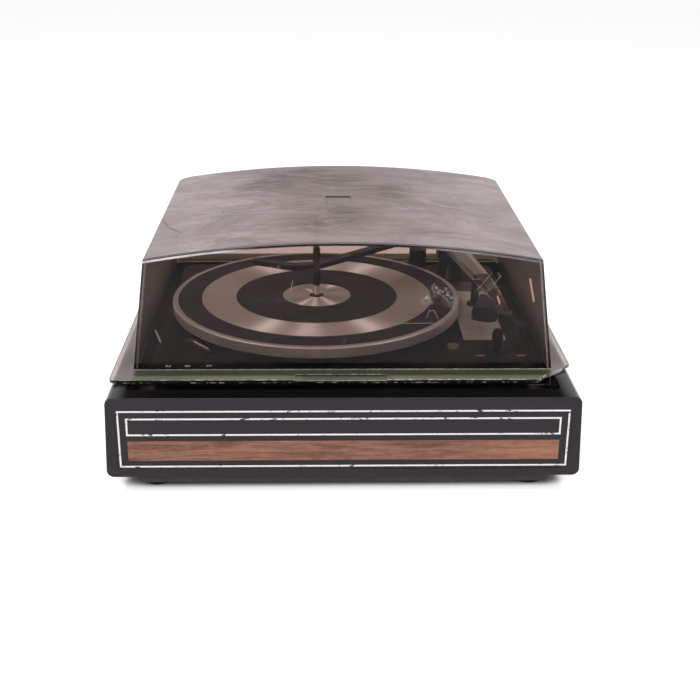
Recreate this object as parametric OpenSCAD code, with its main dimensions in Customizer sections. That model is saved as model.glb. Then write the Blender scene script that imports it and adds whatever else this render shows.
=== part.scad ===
// Stacking record changer on a moulded plinth, under a smoked lift-off cover.
// Millimetres, +Z up. The origin is the middle of the footprint on the table, and the front faces -Y.

/* [Plinth] */
// Width of the plinth across its top edge
base_w = 393; // [388:0.5:396]
// How far each side leans out between top and bottom edge
base_flare = 2.75; // [1:0.25:3]
// Depth of the plinth
base_d = 388; // [386:1:392]
// Height of the plinth's front face
base_h = 72.5; // [70:0.5:76]
// Radius of the plinth's four long corners, seen from the front
base_r = 6; // [4:0.5:7]
// Thickness of the plinth's top skin and of the well's walls
base_wall = 3; // [2.5:0.5:3.5]
// Thickness of the plinth's side walls
side_wall = 6.5; // [6:0.5:7]
// Thickness of the plinth's front and back walls
end_wall = 4; // [3.5:0.5:5]
// Width of the rails beside the well that the cover's skirt drops into
rail_w = 14.75; // [14:0.25:15.5]
// Width of the rails in front of and behind that well
end_rail = 16.5; // [15:0.5:18]
// How far the well's floor lies below the rim
well_depth = 18; // [17:0.5:20]
// Width of the opening in the well's floor for the drive
cut_w = 292; // [288:1:294]
// Length of that opening from front to back
cut_d = 218; // [214:1:220]
// How far the fascia panel lies behind the plinth's front face
panel_in = 0.6; // [0.4:0.1:1]
// Border of the fascia panel round the outer pinstripe frame
panel_edge = 2; // [1.5:0.25:2.5]
// Thickness of the inlaid stripes and of the walnut strip
inlay_t = 0.8; // [0.6:0.1:1.2]
// Width of a pinstripe
stripe_w = 1.5; // [1:0.1:2]
// Width of the outer pinstripe frame
outer_stripe_w = 375.5; // [370:0.5:377]
// Distance from the rim down to the outer frame
outer_stripe_drop = 11.8; // [11:0.1:13]
// Distance between the outer and the inner frame at each side
inner_stripe_gap = 7; // [6:0.5:9]
// Distance from the outer frame's top down to the inner frame
inner_stripe_drop = 6.8; // [6:0.1:8]
// Height of the inner pinstripe frame
inner_stripe_h = 16; // [14:0.5:17]
// Distance between the outer frame and the walnut strip at each side
walnut_gap = 7.5; // [6:0.5:9]
// Distance from the inner frame down to the walnut strip
walnut_drop = 4.9; // [4:0.1:6]
// Height of the walnut strip
walnut_h = 18; // [16:0.5:19]
// Distance from the walnut strip down to the outer frame's lower edge
walnut_below = 6.3; // [5:0.1:7]

/* [Underside] */
// Height of the tray part of the bottom pan
pan_h = 7; // [6:0.5:8]
// Sheet thickness of the bottom pan
pan_t = 2; // [1.5:0.5:2]
// Distance of the pan's tray from the plinth's sides
pan_inset = 20.5; // [19.5:0.5:22]
// Distance of the pan's tray from the plinth's front and back
pan_end_inset = 3.5; // [2:0.5:6]
// Distance of the outer pan screws from the plinth's front and back
pan_screw_inset = 54; // [45:1:60]
// Height of a foot
foot_h = 8; // [7:0.5:10]
// Diameter of a foot
foot_d = 29; // [26:0.5:32]
// Distance of a foot's middle from the side of the pan's tray
foot_inset = 16; // [16:1:22]
// Distance of a foot's middle from the end of the pan's tray
foot_end_inset = 23.5; // [20:0.5:30]

/* [Cover] */
// Gap between the cover's skirt and the well at each side
skirt_gap = 1.75; // [1.25:0.25:2.25]
// Depth of the cover's walls where they meet the flange
lid_d = 313; // [312:0.5:314]
// Height of the cover's top corners above the rim
lid_h = 97.5; // [95:0.5:100]
// How far each wall leans in between flange and top
lid_draft = 11.4; // [10:0.2:12]
// Rise of the arched top
lid_arch = 14.2; // [12:0.2:15]
// Radius of the cover's two back corners
lid_r = 14; // [10:0.5:16]
// Wall thickness of the cover
lid_t = 2.5; // [2:0.1:2.6]
// How far the cover's flange stands out over the plinth's top edge at each side
flange_over = 1.25; // [0.75:0.25:1.75]
// How far the back of the flange stays in front of the plinth's back
flange_back = 0.25; // [0:0.25:1]
// Depth of the cover's flange
flange_d = 357.5; // [356:0.5:358]
// Thickness of the cover's flange
flange_t = 3; // [2.5:0.5:3.5]
// How far the cover's skirt hangs below the rim
skirt_h = 12; // [8:0.5:14]
// Leg of the broken corner of the flange
chip = 34; // [28:1:36]

/* [Deck] */
// Gap between the deck plate and the well at each side
deck_gap = 13.75; // [13:0.25:14.75]
// Gap between the deck plate and the cover's front and back walls
deck_end_gap = 9.5; // [8.5:0.5:10.5]
// Sheet thickness of the deck plate
deck_t = 1.5; // [1.2:0.1:1.8]
// Height of the deck plate's turned-down edge
deck_edge = 9; // [7:0.5:10]
// Wire diameter of a deck spring
spring_wire = 1.4; // [1.2:0.1:1.6]
// Mean radius of a deck spring
spring_r = 6; // [5.5:0.25:6.5]
// Curls of a deck spring
spring_turns = 5; // [4:1:5]

/* [Platter] */
// Diameter of the platter
platter_d = 280; // [278:0.5:281]
// Place of the spindle, to the right of the middle
platter_x = -23.2; // [-24:0.2:-23]
// Place of the spindle, behind the deck's middle
platter_back = 0; // [-1:0.5:1]
// Height of the mat above the rim
mat_up = 16.25; // [16:0.25:17]
// Thickness of the mats and of the silver trims
mat_t = 3; // [2.5:0.5:3]
// Diameter of the outer mat
mat_d = 269.5; // [268:0.5:270]
// Outer diameter of the silver ring
silver_d = 224; // [215:0.5:230]
// Inner diameter of the silver ring
silver_hole_d = 157.5; // [150:0.5:165]
// Diameter of the silver disc in the middle
centre_d = 66.5; // [60:0.5:72]
// Height of the platter's rim
rim_h = 9.75; // [9.5:0.25:10]
// Wall of the platter's rim
rim_t = 4; // [3.5:0.5:4]
// Diameter of the post that the platter turns on
post_d = 12; // [11:0.5:12]
// Diameter of the spindle
spindle_d = 7.1; // [7:0.05:7.2]
// Height of the spindle above the mat
spindle_up = 78; // [70:1:82]

/* [Drive] */
// Diameter of the idler wheel
idler_d = 44; // [42:0.5:45]
// Thickness of the idler wheel
idler_t = 4; // [3.5:0.5:4]
// Running speed of the motor, in turns a minute
motor_rpm = 1600; // [1500:10:1700]
// How far the motor's shaft lies outside the idler's nearest edge, seen from the spindle
motor_back = 4; // [3:0.5:6]
// Direction of the motor from the spindle, in degrees
motor_angle = 150; // [148:1:152]
// Diameter of the motor's shaft
shaft_d = 3; // [2.5:0.1:3.2]
// Module of the change gear and its pinion
gear_module = 1.5; // [1.4:0.05:1.5]
// Teeth of the pinion under the platter
pinion_teeth = 16; // [15:1:16]
// Teeth of the change gear
gear_teeth = 80; // [76:1:80]
// Direction of the change gear from the spindle, in degrees
gear_angle = -50; // [-56:1:-46]

/* [Tonearm] */
// Distance of the tonearm's pivot from the deck's right edge
arm_side = 48; // [47:0.5:49]
// Place of the tonearm's pivot, behind the deck's middle
arm_back = 111; // [109:0.5:112]
// Height of the tonearm's tilting axis above the rim
arm_up = 35; // [34:0.5:36]
// Length of the tonearm's bar from the pivot to the head
bar_len = 158.5; // [156:0.5:160]
// Lean of the bar out of the front direction, in degrees
bar_lean = 8.6; // [8.4:0.1:9]
// Inward turn of the head against the bar, in degrees
head_turn = 27.2; // [25:0.2:28]
// Length of the head from its root to its front end
head_len = 48; // [46:0.5:50]
// Width of the head
head_w = 23; // [21:0.5:24]
// Diameter of the counterweight
weight_d = 19; // [17:0.5:20]

/* [Overarm] */
// Distance of the overarm's shaft from the deck's right edge
over_side = 83; // [82:0.5:84]
// Place of the overarm's shaft, behind the deck's middle
over_back = 111; // [110:0.5:113]
// Height of the overarm's bar above the rim
over_up = 43; // [42:0.5:44]
// Diameter of the overarm's shaft
over_shaft_d = 8; // [7:0.5:9]
// Width of the overarm's bar
over_w = 10; // [9:0.5:11]

/* [Controls] */
// Place of the speed lever's pivot, to the left of the middle
speed_x = -138; // [-140:0.5:-137]
// Place of the speed lever's pivot, in front of the deck's middle
speed_front = 88.5; // [87:0.5:90]
// Length of the speed lever
speed_len = 30; // [26:0.5:32]
// Direction of the speed lever at rest, in degrees
speed_angle = -52; // [-56:1:-50]
// Distance of the control knob from the deck's right edge
knob_side = 28.5; // [27:0.5:30]
// Place of the control knob, in front of the deck's middle
knob_front = 110.5; // [109:0.5:112]
// Height of the control knob above the deck
knob_h = 22; // [18:0.5:23]
// Diameter of the control knob
knob_d = 10.5; // [9:0.5:11]
// Travel of the control knob to either side
knob_travel = 6; // [4:0.5:6]

/* [Fits] */
// Radial clearance of a turning fit
run = 0.05; // [0.03:0.01:0.1]
// Radial clearance of a loose hole
loose = 0.3; // [0.2:0.05:0.4]

/* [Hidden] */
$fn = 64;

// Levels
base_z = foot_h + pan_h;
rim_z = base_z + base_h;
well_z = rim_z - well_depth;
deck_z = rim_z;
deck_under = deck_z - deck_t;
mat_z = rim_z + mat_up;
plate_z = mat_z - mat_t;
platter_low = mat_z - rim_h;
drive_r = platter_d / 2 - rim_t;

// Plinth and fascia
well_w = base_w - 2 * rail_w;
well_d = base_d - 2 * end_rail;
inner_stripe_w = outer_stripe_w - 2 * inner_stripe_gap;
inner_stripe_top = outer_stripe_drop + inner_stripe_drop;
walnut_w = outer_stripe_w - 2 * walnut_gap;
walnut_top = inner_stripe_top + inner_stripe_h + walnut_drop;
outer_stripe_h = walnut_top + walnut_h + walnut_below - outer_stripe_drop;
panel_w = outer_stripe_w + 2 * panel_edge;
panel_h = outer_stripe_h + 2 * panel_edge;
pan_w = base_w - 2 * pan_inset;
pan_d = base_d - 2 * pan_end_inset;
pan_screw_y = [for (k = [-1, -1 / 3, 1 / 3, 1]) k * (base_d / 2 - pan_screw_inset)];
foot_x = pan_w / 2 - foot_inset;
foot_y = pan_d / 2 - foot_end_inset;

// Cover, with the deck in its middle
flange_w = base_w + 2 * flange_over;
lid_w = well_w - 2 * skirt_gap;
lid_y = base_d / 2 - flange_back - flange_d / 2;
lid_slope = lid_draft / (lid_h - flange_t);
lid_top_w = lid_w - 2 * lid_draft;
arch_r = (pow(lid_top_w / 2, 2) + pow(lid_arch, 2)) / (2 * lid_arch);
lid_peak = rim_z + lid_h + lid_arch;

// Deck
deck_w = well_w - 2 * deck_gap;
deck_d = lid_d - 2 * deck_end_gap;
cut_y = lid_y + 22;
spring_x = deck_w / 2 - 11;
spring_y = deck_d / 2 - 22;
transit_at = [[deck_w / 2 - 67, lid_y - 98.5], [18 - deck_w / 2, lid_y + 104]];
platter_y = lid_y + platter_back;
arm_x = deck_w / 2 - arm_side;
arm_y = lid_y + arm_back;
over_x = deck_w / 2 - over_side;
over_y = lid_y + over_back;
speed_y = lid_y - speed_front;
knob_x = deck_w / 2 - knob_side;
knob_y = lid_y - knob_front;

// Drive: the idler touches the platter's rim inside and the pulley's 33 step
function step_r(rpm) = drive_r * rpm / motor_rpm;
drive_gap = 0.15;
motor_reach = drive_r - idler_d + motor_back;
motor_at = [platter_x + motor_reach * cos(motor_angle), platter_y + motor_reach * sin(motor_angle)];
idler_reach = drive_r - idler_d / 2 - drive_gap;
idler_to_motor = idler_d / 2 + step_r(100 / 3) + drive_gap;
idler_angle = motor_angle + acos((pow(motor_reach, 2) + pow(idler_reach, 2) - pow(idler_to_motor, 2))
    / (2 * motor_reach * idler_reach));
idler_at = [platter_x + idler_reach * cos(idler_angle), platter_y + idler_reach * sin(idler_angle)];
idler_pivot = idler_at + [58, -4];
idler_elbow = idler_at + [26, -12.7];
idler_z = deck_z + 7;
step_h = idler_t + 0.4;
mount_at = [[-26, -20], [26, -20], [0, 26]];

// Change gear
pinion_r = gear_module * pinion_teeth / 2;
pinion_wall = 1.275;
tooth_root = 1.15 * gear_module;
hub_r = pinion_r - tooth_root - pinion_wall;
gear_r = gear_module * gear_teeth / 2;
gear_reach = pinion_r + gear_r;
gear_at = [platter_x + gear_reach * cos(gear_angle), platter_y + gear_reach * sin(gear_angle)];
gear_z = deck_z + 3;
gear_t = 6;
gap_teeth = 4;

// Tonearm: bar, head and stylus directions in plan, measured from +X
bar_angle = bar_lean - 90;
head_angle = bar_angle - head_turn;
arm_z = rim_z + arm_up;
head_at = [arm_x + bar_len * cos(bar_angle), arm_y + bar_len * sin(bar_angle)];
bar_half_h = 4;
bar_low = arm_z - bar_half_h;
head_low = bar_low - 8.5;
stylus_from_front = 10;
rest_part = 0.62;

// Overarm
over_z = rim_z + over_up;
over_path = [[over_x, over_y], [platter_x + 3, platter_y + 12], [platter_x - 23, platter_y + 6],
    [platter_x - 59, platter_y + 23]];

module rounded_rect(w, d, r) {
    square([w - 2 * r, d], center = true);
    square([w, d - 2 * r], center = true);
    for (sx = [-1, 1], sy = [-1, 1])
        translate([sx * (w / 2 - r), sy * (d / 2 - r)])
            circle(r = r);
}

module plate(w, d, r, h) {
    linear_extrude(h)
        rounded_rect(w, d, r);
}

module ring(r_out, r_in, h) {
    difference() {
        cylinder(r = r_out, h = h);
        translate([0, 0, -1])
            cylinder(r = r_in, h = h + 2);
    }
}

// A flat bar between two points with round ends, which stand a hair proud of its sides
module bar(p, q, w) {
    d = q - p;
    side = w / 2 - 0.1;
    translate(p)
        rotate(atan2(d[1], d[0]))
            translate([0, -side])
                square([norm(d), 2 * side]);
    translate(p)
        circle(d = w);
    translate(q)
        circle(d = w);
}

module at(p, z = 0) {
    translate([p[0], p[1], z])
        children();
}

// Stands a flat outline behind the plinth's front face, from depth up to depth + t
module on_front(drop, h, depth = panel_in, t = inlay_t) {
    translate([0, -base_d / 2 + depth + t, rim_z - drop - h / 2])
        rotate([90, 0, 0])
            linear_extrude(t)
                children();
}

module frame(w, h) {
    difference() {
        square([w, h], center = true);
        square([w - 2 * stripe_w, h - 2 * stripe_w], center = true);
    }
}

// The plinth's outline from the front: leaning sides and four round corners
module base_section() {
    lean = base_flare / base_h;
    long = sqrt(1 + lean * lean);
    top_c = base_w / 2 + lean * base_r - base_r * long;
    low_c = base_w / 2 + lean * (base_h - base_r) - base_r * long;
    out = base_r / long;
    up = base_r * lean / long;
    half = [[top_c, rim_z], [top_c + out, rim_z - base_r + up], [low_c + out, base_z + base_r + up],
        [low_c, base_z]];
    polygon(concat(half, [for (i = [3:-1:0]) [-half[i][0], half[i][1]]]));
    for (s = [-1, 1]) {
        translate([s * top_c, rim_z - base_r])
            circle(r = base_r);
        translate([s * low_c, base_z + base_r])
            circle(r = base_r);
    }
}

module pan_screw_places() {
    for (sx = [-1, 1], y = pan_screw_y)
        translate([sx * (pan_w / 2 + 9), y, 0])
            children();
}

module foot_places() {
    for (sx = [-1, 1], sy = [-1, 1])
        translate([sx * foot_x, sy * foot_y, 0])
            children();
}

grommet_z = base_z + 22;
grommet_at = [[130, 12, 3.6], [-90, 14, 4.5]];

module grommet_hole(g) {
    translate([g[0], base_d / 2, grommet_z])
        rotate([90, 0, 0]) {
            translate([0, 0, -1])
                cylinder(d = g[1] + 8 + 2 * loose, h = 2.5);
            cylinder(d = g[1] + 0.1, h = 3 * end_wall, center = true);
        }
}

module plinth() {
    color("#2b292c")
        difference() {
            union() {
                difference() {
                    rotate([90, 0, 0])
                        linear_extrude(base_d, center = true)
                            base_section();
                    translate([0, 0, base_z - 1])
                        linear_extrude(base_h + 1 - base_wall)
                            square([base_w - 2 * side_wall, base_d - 2 * end_wall], center = true);
                }
                translate([0, 0, well_z - base_wall])
                    plate(well_w + 2 * base_wall, well_d + 2 * base_wall, 7, well_depth + base_wall - 1);
                pan_screw_places()
                    translate([0, 0, base_z + pan_t])
                        cylinder(r = 5, h = 25);
                for (sx = [-1, 1], y = pan_screw_y)
                    translate([sx * (base_w / 2 - side_wall - 3), y, base_z + pan_t + 12.5])
                        cube([14, 5, 25], center = true);
            }
            translate([0, 0, well_z])
                plate(well_w, well_d, 4, base_h);
            translate([0, cut_y, well_z - base_wall - 1])
                plate(cut_w, cut_d, 10, base_wall + 2);
            on_front(outer_stripe_drop - panel_edge, panel_h, -1, 1 + panel_in)
                rounded_rect(panel_w, panel_h, 2.5 + panel_edge);
            on_front(outer_stripe_drop, outer_stripe_h)
                frame(outer_stripe_w, outer_stripe_h);
            on_front(inner_stripe_top, inner_stripe_h)
                frame(inner_stripe_w, inner_stripe_h);
            on_front(walnut_top, walnut_h)
                square([walnut_w, walnut_h], center = true);
            pan_screw_places()
                translate([0, 0, base_z])
                    cylinder(r = 1.6, h = 20);
            for (p = transit_at)
                at(p, well_z - base_wall - 1)
                    cylinder(r = 3 + loose, h = base_wall + 2);
            for (g = grommet_at)
                grommet_hole(g);
        }
}

module outer_pinstripe() {
    color("#e4e2dd")
        on_front(outer_stripe_drop, outer_stripe_h)
            frame(outer_stripe_w, outer_stripe_h);
}

module inner_pinstripe() {
    color("#e4e2dd")
        on_front(inner_stripe_top, inner_stripe_h)
            frame(inner_stripe_w, inner_stripe_h);
}

module walnut_strip() {
    color("#7c5445")
        on_front(walnut_top, walnut_h)
            square([walnut_w, walnut_h], center = true);
}

module bottom_pan() {
    color("#333133")
        difference() {
            union() {
                translate([0, 0, foot_h])
                    plate(pan_w, pan_d, 8, pan_h);
                translate([0, 0, base_z])
                    plate(base_w - 2 * side_wall - 1, base_d - 2 * end_wall - 1, 3, pan_t);
            }
            translate([0, 0, foot_h + pan_t])
                plate(pan_w - 2 * pan_t, base_d - 2 * end_wall - 5, 6, pan_h + pan_t);
            pan_screw_places()
                cylinder(r = 1.9, h = 40);
            foot_places()
                cylinder(r = 2 + loose, h = 40);
            for (i = [-3:3], sx = [-1, 1])
                translate([sx * 70, i * 12, foot_h - 1])
                    plate(60, 4, 1.9, pan_t + 2);
        }
}

module pan_screws() {
    color("#8f8f93")
        pan_screw_places() {
            translate([0, 0, base_z - 1.8])
                cylinder(r1 = 2.6, r2 = 3.2, h = 1.8);
            translate([0, 0, base_z - 0.5])
                cylinder(r = 1.5, h = 16);
        }
}

module foot(sx, sy) {
    color("#1d1c1d")
        translate([sx * foot_x, sy * foot_y, 0])
            difference() {
                union() {
                    cylinder(d1 = foot_d - 3, d2 = foot_d, h = 2);
                    translate([0, 0, 2])
                        cylinder(d = foot_d, h = foot_h - 2);
                }
                translate([0, 0, -1])
                    cylinder(r = 5, h = foot_h - 2);
                cylinder(r = 2 + loose, h = 2 * foot_h);
            }
}

module foot_front_left() {
    foot(-1, -1);
}

module foot_front_right() {
    foot(1, -1);
}

module foot_back_left() {
    foot(-1, 1);
}

module foot_back_right() {
    foot(1, 1);
}

module foot_screws() {
    color("#8f8f93")
        foot_places() {
            translate([0, 0, foot_h - 3 - 2])
                cylinder(r = 4.2, h = 2);
            translate([0, 0, foot_h - 4])
                cylinder(r = 2, h = pan_t + 7);
        }
}

// A rubber bush in the back wall: lip outside, lip inside, bore for a lead
module grommet(g) {
    color("#181818")
        translate([g[0], base_d / 2, grommet_z])
            rotate([90, 0, 0])
                difference() {
                    union() {
                        cylinder(d = g[1] + 8, h = 1.5);
                        cylinder(d = g[1], h = end_wall + 2);
                        translate([0, 0, end_wall])
                            cylinder(d = g[1] + 5, h = 2);
                    }
                    translate([0, 0, -1])
                        cylinder(r = g[2], h = 20);
                }
}

module mains_grommet() {
    grommet(grommet_at[0]);
}

module signal_grommet() {
    grommet(grommet_at[1]);
}

// What rounds a back corner of the cover. The round stands a hair proud, so it crosses the walls.
module lid_corner(sx, inset) {
    proud = 0.4;
    r = lid_r - inset;
    c = r - proud;
    over = 4;
    lean = asin(lid_slope / sqrt(1 + 2 * pow(lid_slope, 2)));
    translate([sx * (lid_w / 2 - inset), lid_y + lid_d / 2 - inset, rim_z + flange_t])
        rotate([lean, -sx * atan(lid_slope), 0])
            translate([0, 0, -over])
                linear_extrude(2 * lid_h)
                    difference() {
                        translate([sx * (over + 1 - c) / 2, (over + 1 - c) / 2])
                            square(c + over - 1, center = true);
                        translate([-sx * c, -c])
                            circle(r = r);
                    }
}

// The cover's solid, shrunk by a wall thickness: two leaning prisms cut by the arched top
module lid_block(inset) {
    low = rim_z - skirt_h - (inset > 0 ? 1 : 0);
    knee = rim_z + flange_t;
    high = lid_peak + 20;
    function reach(w, z) = w / 2 - inset - (z > knee ? (z - knee) * lid_slope : 0);
    difference() {
        intersection() {
            translate([0, lid_y, 0])
                rotate([90, 0, 0])
                    linear_extrude(2 * base_d, center = true)
                        polygon([for (s = [-1, 1], z = s < 0 ? [low, knee, high] : [high, knee, low])
                            [s * reach(lid_w, z), z]]);
            translate([0, lid_y, 0])
                rotate([90, 0, 90])
                    linear_extrude(2 * base_w, center = true)
                        polygon([for (s = [-1, 1], z = s < 0 ? [low, knee, high] : [high, knee, low])
                            [s * reach(lid_d, z), z]]);
            translate([0, lid_y, lid_peak - arch_r])
                rotate([90, 0, 0])
                    cylinder(r = arch_r - inset, h = 2 * base_d, center = true, $fn = 720);
        }
        intersection() {
            translate([0, lid_y, knee - flange_t / 2 + base_d])
                cube(2 * base_d, center = true);
            union() {
                lid_corner(-1, inset);
                lid_corner(1, inset);
            }
        }
    }
}

module lid() {
    color("#6f6156", 0.45)
        difference() {
            union() {
                lid_block(0);
                translate([0, lid_y, rim_z])
                    plate(flange_w, flange_d, 5, flange_t);
            }
            lid_block(lid_t);
            // Finger grip in the front of the flange
            translate([-2.4, lid_y - flange_d / 2 + 4, rim_z + flange_t - 1.2])
                plate(78, 16, 3, 5);
            // Shallow place of a missing badge
            translate([-2.4, lid_y, lid_peak - 1])
                plate(24, 28, 2, 5);
            // Broken corner
            translate([flange_w / 2, lid_y - flange_d / 2, rim_z - 1])
                linear_extrude(flange_t + 2)
                    polygon([[1, -1], [1, chip], [-4, 0.86 * chip], [-0.26 * chip, 0.68 * chip],
                        [-0.45 * chip, 0.5 * chip], [-0.78 * chip, 0.24 * chip], [-chip, -1]]);
        }
}

module deck_plate() {
    color("#242325")
        difference() {
            union() {
                translate([0, lid_y, deck_under])
                    plate(deck_w, deck_d, 12, deck_t);
                translate([0, lid_y, deck_z - deck_edge])
                    difference() {
                        plate(deck_w, deck_d, 12, deck_edge);
                        translate([0, 0, -1])
                            plate(deck_w - 2 * deck_t, deck_d - 2 * deck_t, 12 - deck_t, deck_edge + 2);
                    }
            }
            at([platter_x, platter_y], deck_under - 5)
                cylinder(d = post_d + 2 * loose, h = 20);
            at(motor_at, deck_under - 5)
                cylinder(r = step_r(78) + 3, h = 20);
            for (p = mount_at)
                at(motor_at + p, deck_under - 5)
                    cylinder(r = 3.2, h = 20);
            at(idler_pivot, deck_under - 5)
                cylinder(r = 2 + run, h = 20);
            at(gear_at, deck_under - 5)
                cylinder(r = 3 + run, h = 20);
            for (p = transit_at)
                at(p, deck_under - 5)
                    cylinder(r = 3 + loose, h = 20);
            at([arm_x, arm_y], deck_under - 5)
                cylinder(r = 8 + run, h = 20);
            at([over_x, over_y], deck_under - 5)
                cylinder(r = 6.5 + run, h = 20);
            at(rest_at, deck_under - 5)
                cylinder(r = 3 + run, h = 20);
            at([speed_x, speed_y], deck_under - 5)
                cylinder(r = 2.5 + run, h = 20);
            at([knob_x, knob_y], deck_under - 5)
                plate(2 * knob_travel + 7, 4, 1.9, 20);
        }
}

// One spring as a single tube, with six sides and ten rings a curl
module spring(turns, r, wire, h) {
    rings = 10;
    sides = 6;
    rise = h / turns;
    echo("spring gap between curls", rise - wire);
    points = [for (i = [0:turns * rings], k = [0:sides - 1])
        let (a = 360 * i / rings, b = 360 * k / sides, d = r + wire / 2 * cos(b))
        [d * cos(a), d * sin(a), rise * i / rings + wire / 2 * sin(b)]];
    last = turns * rings * sides;
    walls = [for (i = [0:turns * rings - 1], k = [0:sides - 1])
        let (n = (k + 1) % sides)
        [i * sides + k, (i + 1) * sides + k, (i + 1) * sides + n, i * sides + n]];
    polyhedron(points, concat([[for (k = [0:sides - 1]) k]], walls,
        [[for (k = [sides - 1:-1:0]) last + k]]));
}

module deck_springs() {
    color("#b9b9bd")
        for (sx = [-1, 1], sy = [-1, 1])
            translate([sx * spring_x, lid_y + sy * spring_y, well_z + spring_wire / 2 + 0.05])
                spring(spring_turns, spring_r, spring_wire, deck_under - well_z - spring_wire - 0.1);
}

module transit_screws() {
    color("#9a7c4a")
        for (p = transit_at)
            at(p) {
                translate([0, 0, deck_z])
                    difference() {
                        cylinder(r1 = 5.6, r2 = 5, h = 2.4);
                        translate([0, 0, 2])
                            cube([12, 1.2, 1.6], center = true);
                    }
                translate([0, 0, well_z - base_wall - 2])
                    cylinder(r = 3, h = deck_z - well_z + base_wall + 2.5);
            }
}

trim_front = lid_y - 81;
trim_back = lid_y + 85;
trim_left = deck_w / 2 - 55;
trim_right = deck_w / 2 - 16;
trim_t = 0.8;

module deck_trim() {
    color("#b8b2ab")
        difference() {
            translate([(trim_left + trim_right) / 2, (trim_front + trim_back) / 2, deck_z])
                plate(trim_right - trim_left, trim_back - trim_front, 2, trim_t);
            at(rest_at, deck_z - 1)
                cylinder(r = 7.5 + run, h = 5);
        }
}

// The spindle: thinner shank in the post, then the record's seat, the shelf and the tip
post_top = mat_z + 0.6;
shank_d = spindle_d - 0.6;
shank_low = deck_under - 18;
shank_top = post_top + 0.4;
spindle_step = 48;
tip_d = spindle_d - 2.1;
tip_shift = 0.8;
tip_end = mat_z + spindle_up - tip_d / 2;

post_low = deck_under - 20;

module centre_post() {
    color("#a9a9ad")
        at([platter_x, platter_y])
            difference() {
                union() {
                    translate([0, 0, post_low])
                        cylinder(d = post_d, h = post_top - post_low);
                    translate([0, 0, deck_under - 3])
                        cylinder(r = 15, h = 3);
                }
                translate([0, 0, post_low - 1])
                    cylinder(d = shank_d + 2 * run, h = post_top - post_low + 2);
            }
}

race_t = 2.8;

module thrust_race() {
    color("#c8c8cc")
        at([platter_x, platter_y], deck_z)
            difference() {
                ring(post_d / 2 + 5, post_d / 2 + loose, race_t);
                translate([0, 0, race_t / 2])
                    rotate_extrude()
                        translate([post_d / 2 + 5, 0])
                            circle(r = 0.9);
            }
}

module circlip() {
    color("#3a393b")
        at([platter_x, platter_y], mat_z - 1)
            difference() {
                ring(post_d / 2 + 1.05, post_d / 2 + run, 0.8);
                translate([0, -5, 0])
                    cube([4, 10, 4], center = true);
            }
}

module spindle() {
    color("#c9c7c4")
        at([platter_x, platter_y]) {
            translate([0, 0, shank_low])
                cylinder(d = shank_d, h = shank_top - shank_low + 1);
            translate([0, 0, shank_top])
                cylinder(d = spindle_d, h = mat_z + spindle_step - shank_top);
            // Above the shelf the spindle steps aside, so that a record hangs on one edge
            translate([-tip_shift, 0, mat_z + spindle_step - 3])
                cylinder(d = tip_d, h = tip_end - mat_z - spindle_step + 3);
            translate([-tip_shift, 0, tip_end])
                sphere(d = tip_d);
            // Pusher that knocks the lowest record off the shelf
            translate([tip_d / 2 - tip_shift, 0, mat_z + spindle_step + 8])
                cube([2.4, 1.6, 10], center = true);
        }
}

hub_low = deck_z + race_t + 0.1;

plate_low = plate_z - 1.6;
clip_r = post_d / 2 + 1.4;

module platter() {
    color("#8d8984")
        at([platter_x, platter_y])
            rotate_extrude($fn = 180)
                polygon([
                    [post_d / 2 + run, hub_low], [hub_r, hub_low], [hub_r, plate_low], [drive_r, plate_low],
                    [drive_r, platter_low], [platter_d / 2, platter_low], [platter_d / 2, mat_z - 1],
                    [platter_d / 2 - 1, mat_z], [mat_d / 2 + 0.1, mat_z], [mat_d / 2 + 0.1, plate_z],
                    [clip_r, plate_z], [clip_r, mat_z - 1.2], [post_d / 2 + run, mat_z - 1.2]]);
}

// One flat ring of the platter's dressing
module dressing(d_out, d_in) {
    at([platter_x, platter_y], plate_z)
        ring(d_out / 2 - 0.05, d_in / 2 + 0.05, mat_t, $fn = 180);
}

module outer_mat() {
    color("#3a3232")
        dressing(mat_d, silver_d);
}

module silver_ring() {
    color("#b5ada5")
        dressing(silver_d, silver_hole_d);
}

module inner_mat() {
    color("#3a3232")
        dressing(silver_hole_d, centre_d);
}

module centre_disc() {
    color("#b5ada5")
        dressing(centre_d, 2 * clip_r);
}

// A gear's outline with straight-flanked teeth, thinner than half a pitch for play
module gear_outline(teeth, first, last) {
    r = gear_module * teeth / 2;
    tip = r + 0.85 * gear_module;
    root = r - tooth_root;
    pitch = 360 / teeth;
    union() {
        circle(r = root + 0.02, $fn = 180);
        for (i = [first:last])
            rotate(i * pitch)
                polygon([[root - 0.5, -0.34 * gear_module * PI], [tip, -0.09 * gear_module * PI],
                    [tip, 0.09 * gear_module * PI], [root - 0.5, 0.34 * gear_module * PI]]);
    }
}

module hub_pinion() {
    color("#d8d3c4")
        at([platter_x, platter_y], gear_z + 0.4)
            rotate(gear_angle + 180 / pinion_teeth)
                linear_extrude(gear_t)
                    difference() {
                        gear_outline(pinion_teeth, 0, pinion_teeth - 1);
                        circle(r = hub_r + run);
                    }
}

module change_gear() {
    color("#d8d3c4")
        at(gear_at, gear_z)
            difference() {
                // Its toothless stretch faces the pinion at rest
                rotate(gear_angle + 180)
                    linear_extrude(gear_t)
                        gear_outline(gear_teeth, gap_teeth, gear_teeth - gap_teeth);
                translate([0, 0, -1])
                    cylinder(r = 3 + run, h = 20);
                // Eccentric cam groove on the underside
                translate([9, 0, -1])
                    ring(38, 32, 4);
                for (a = [0, 60, 120, 180, 240, 300])
                    rotate(a)
                        translate([17, 0, -1])
                            cylinder(r = 5.5, h = 20);
            }
}

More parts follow.
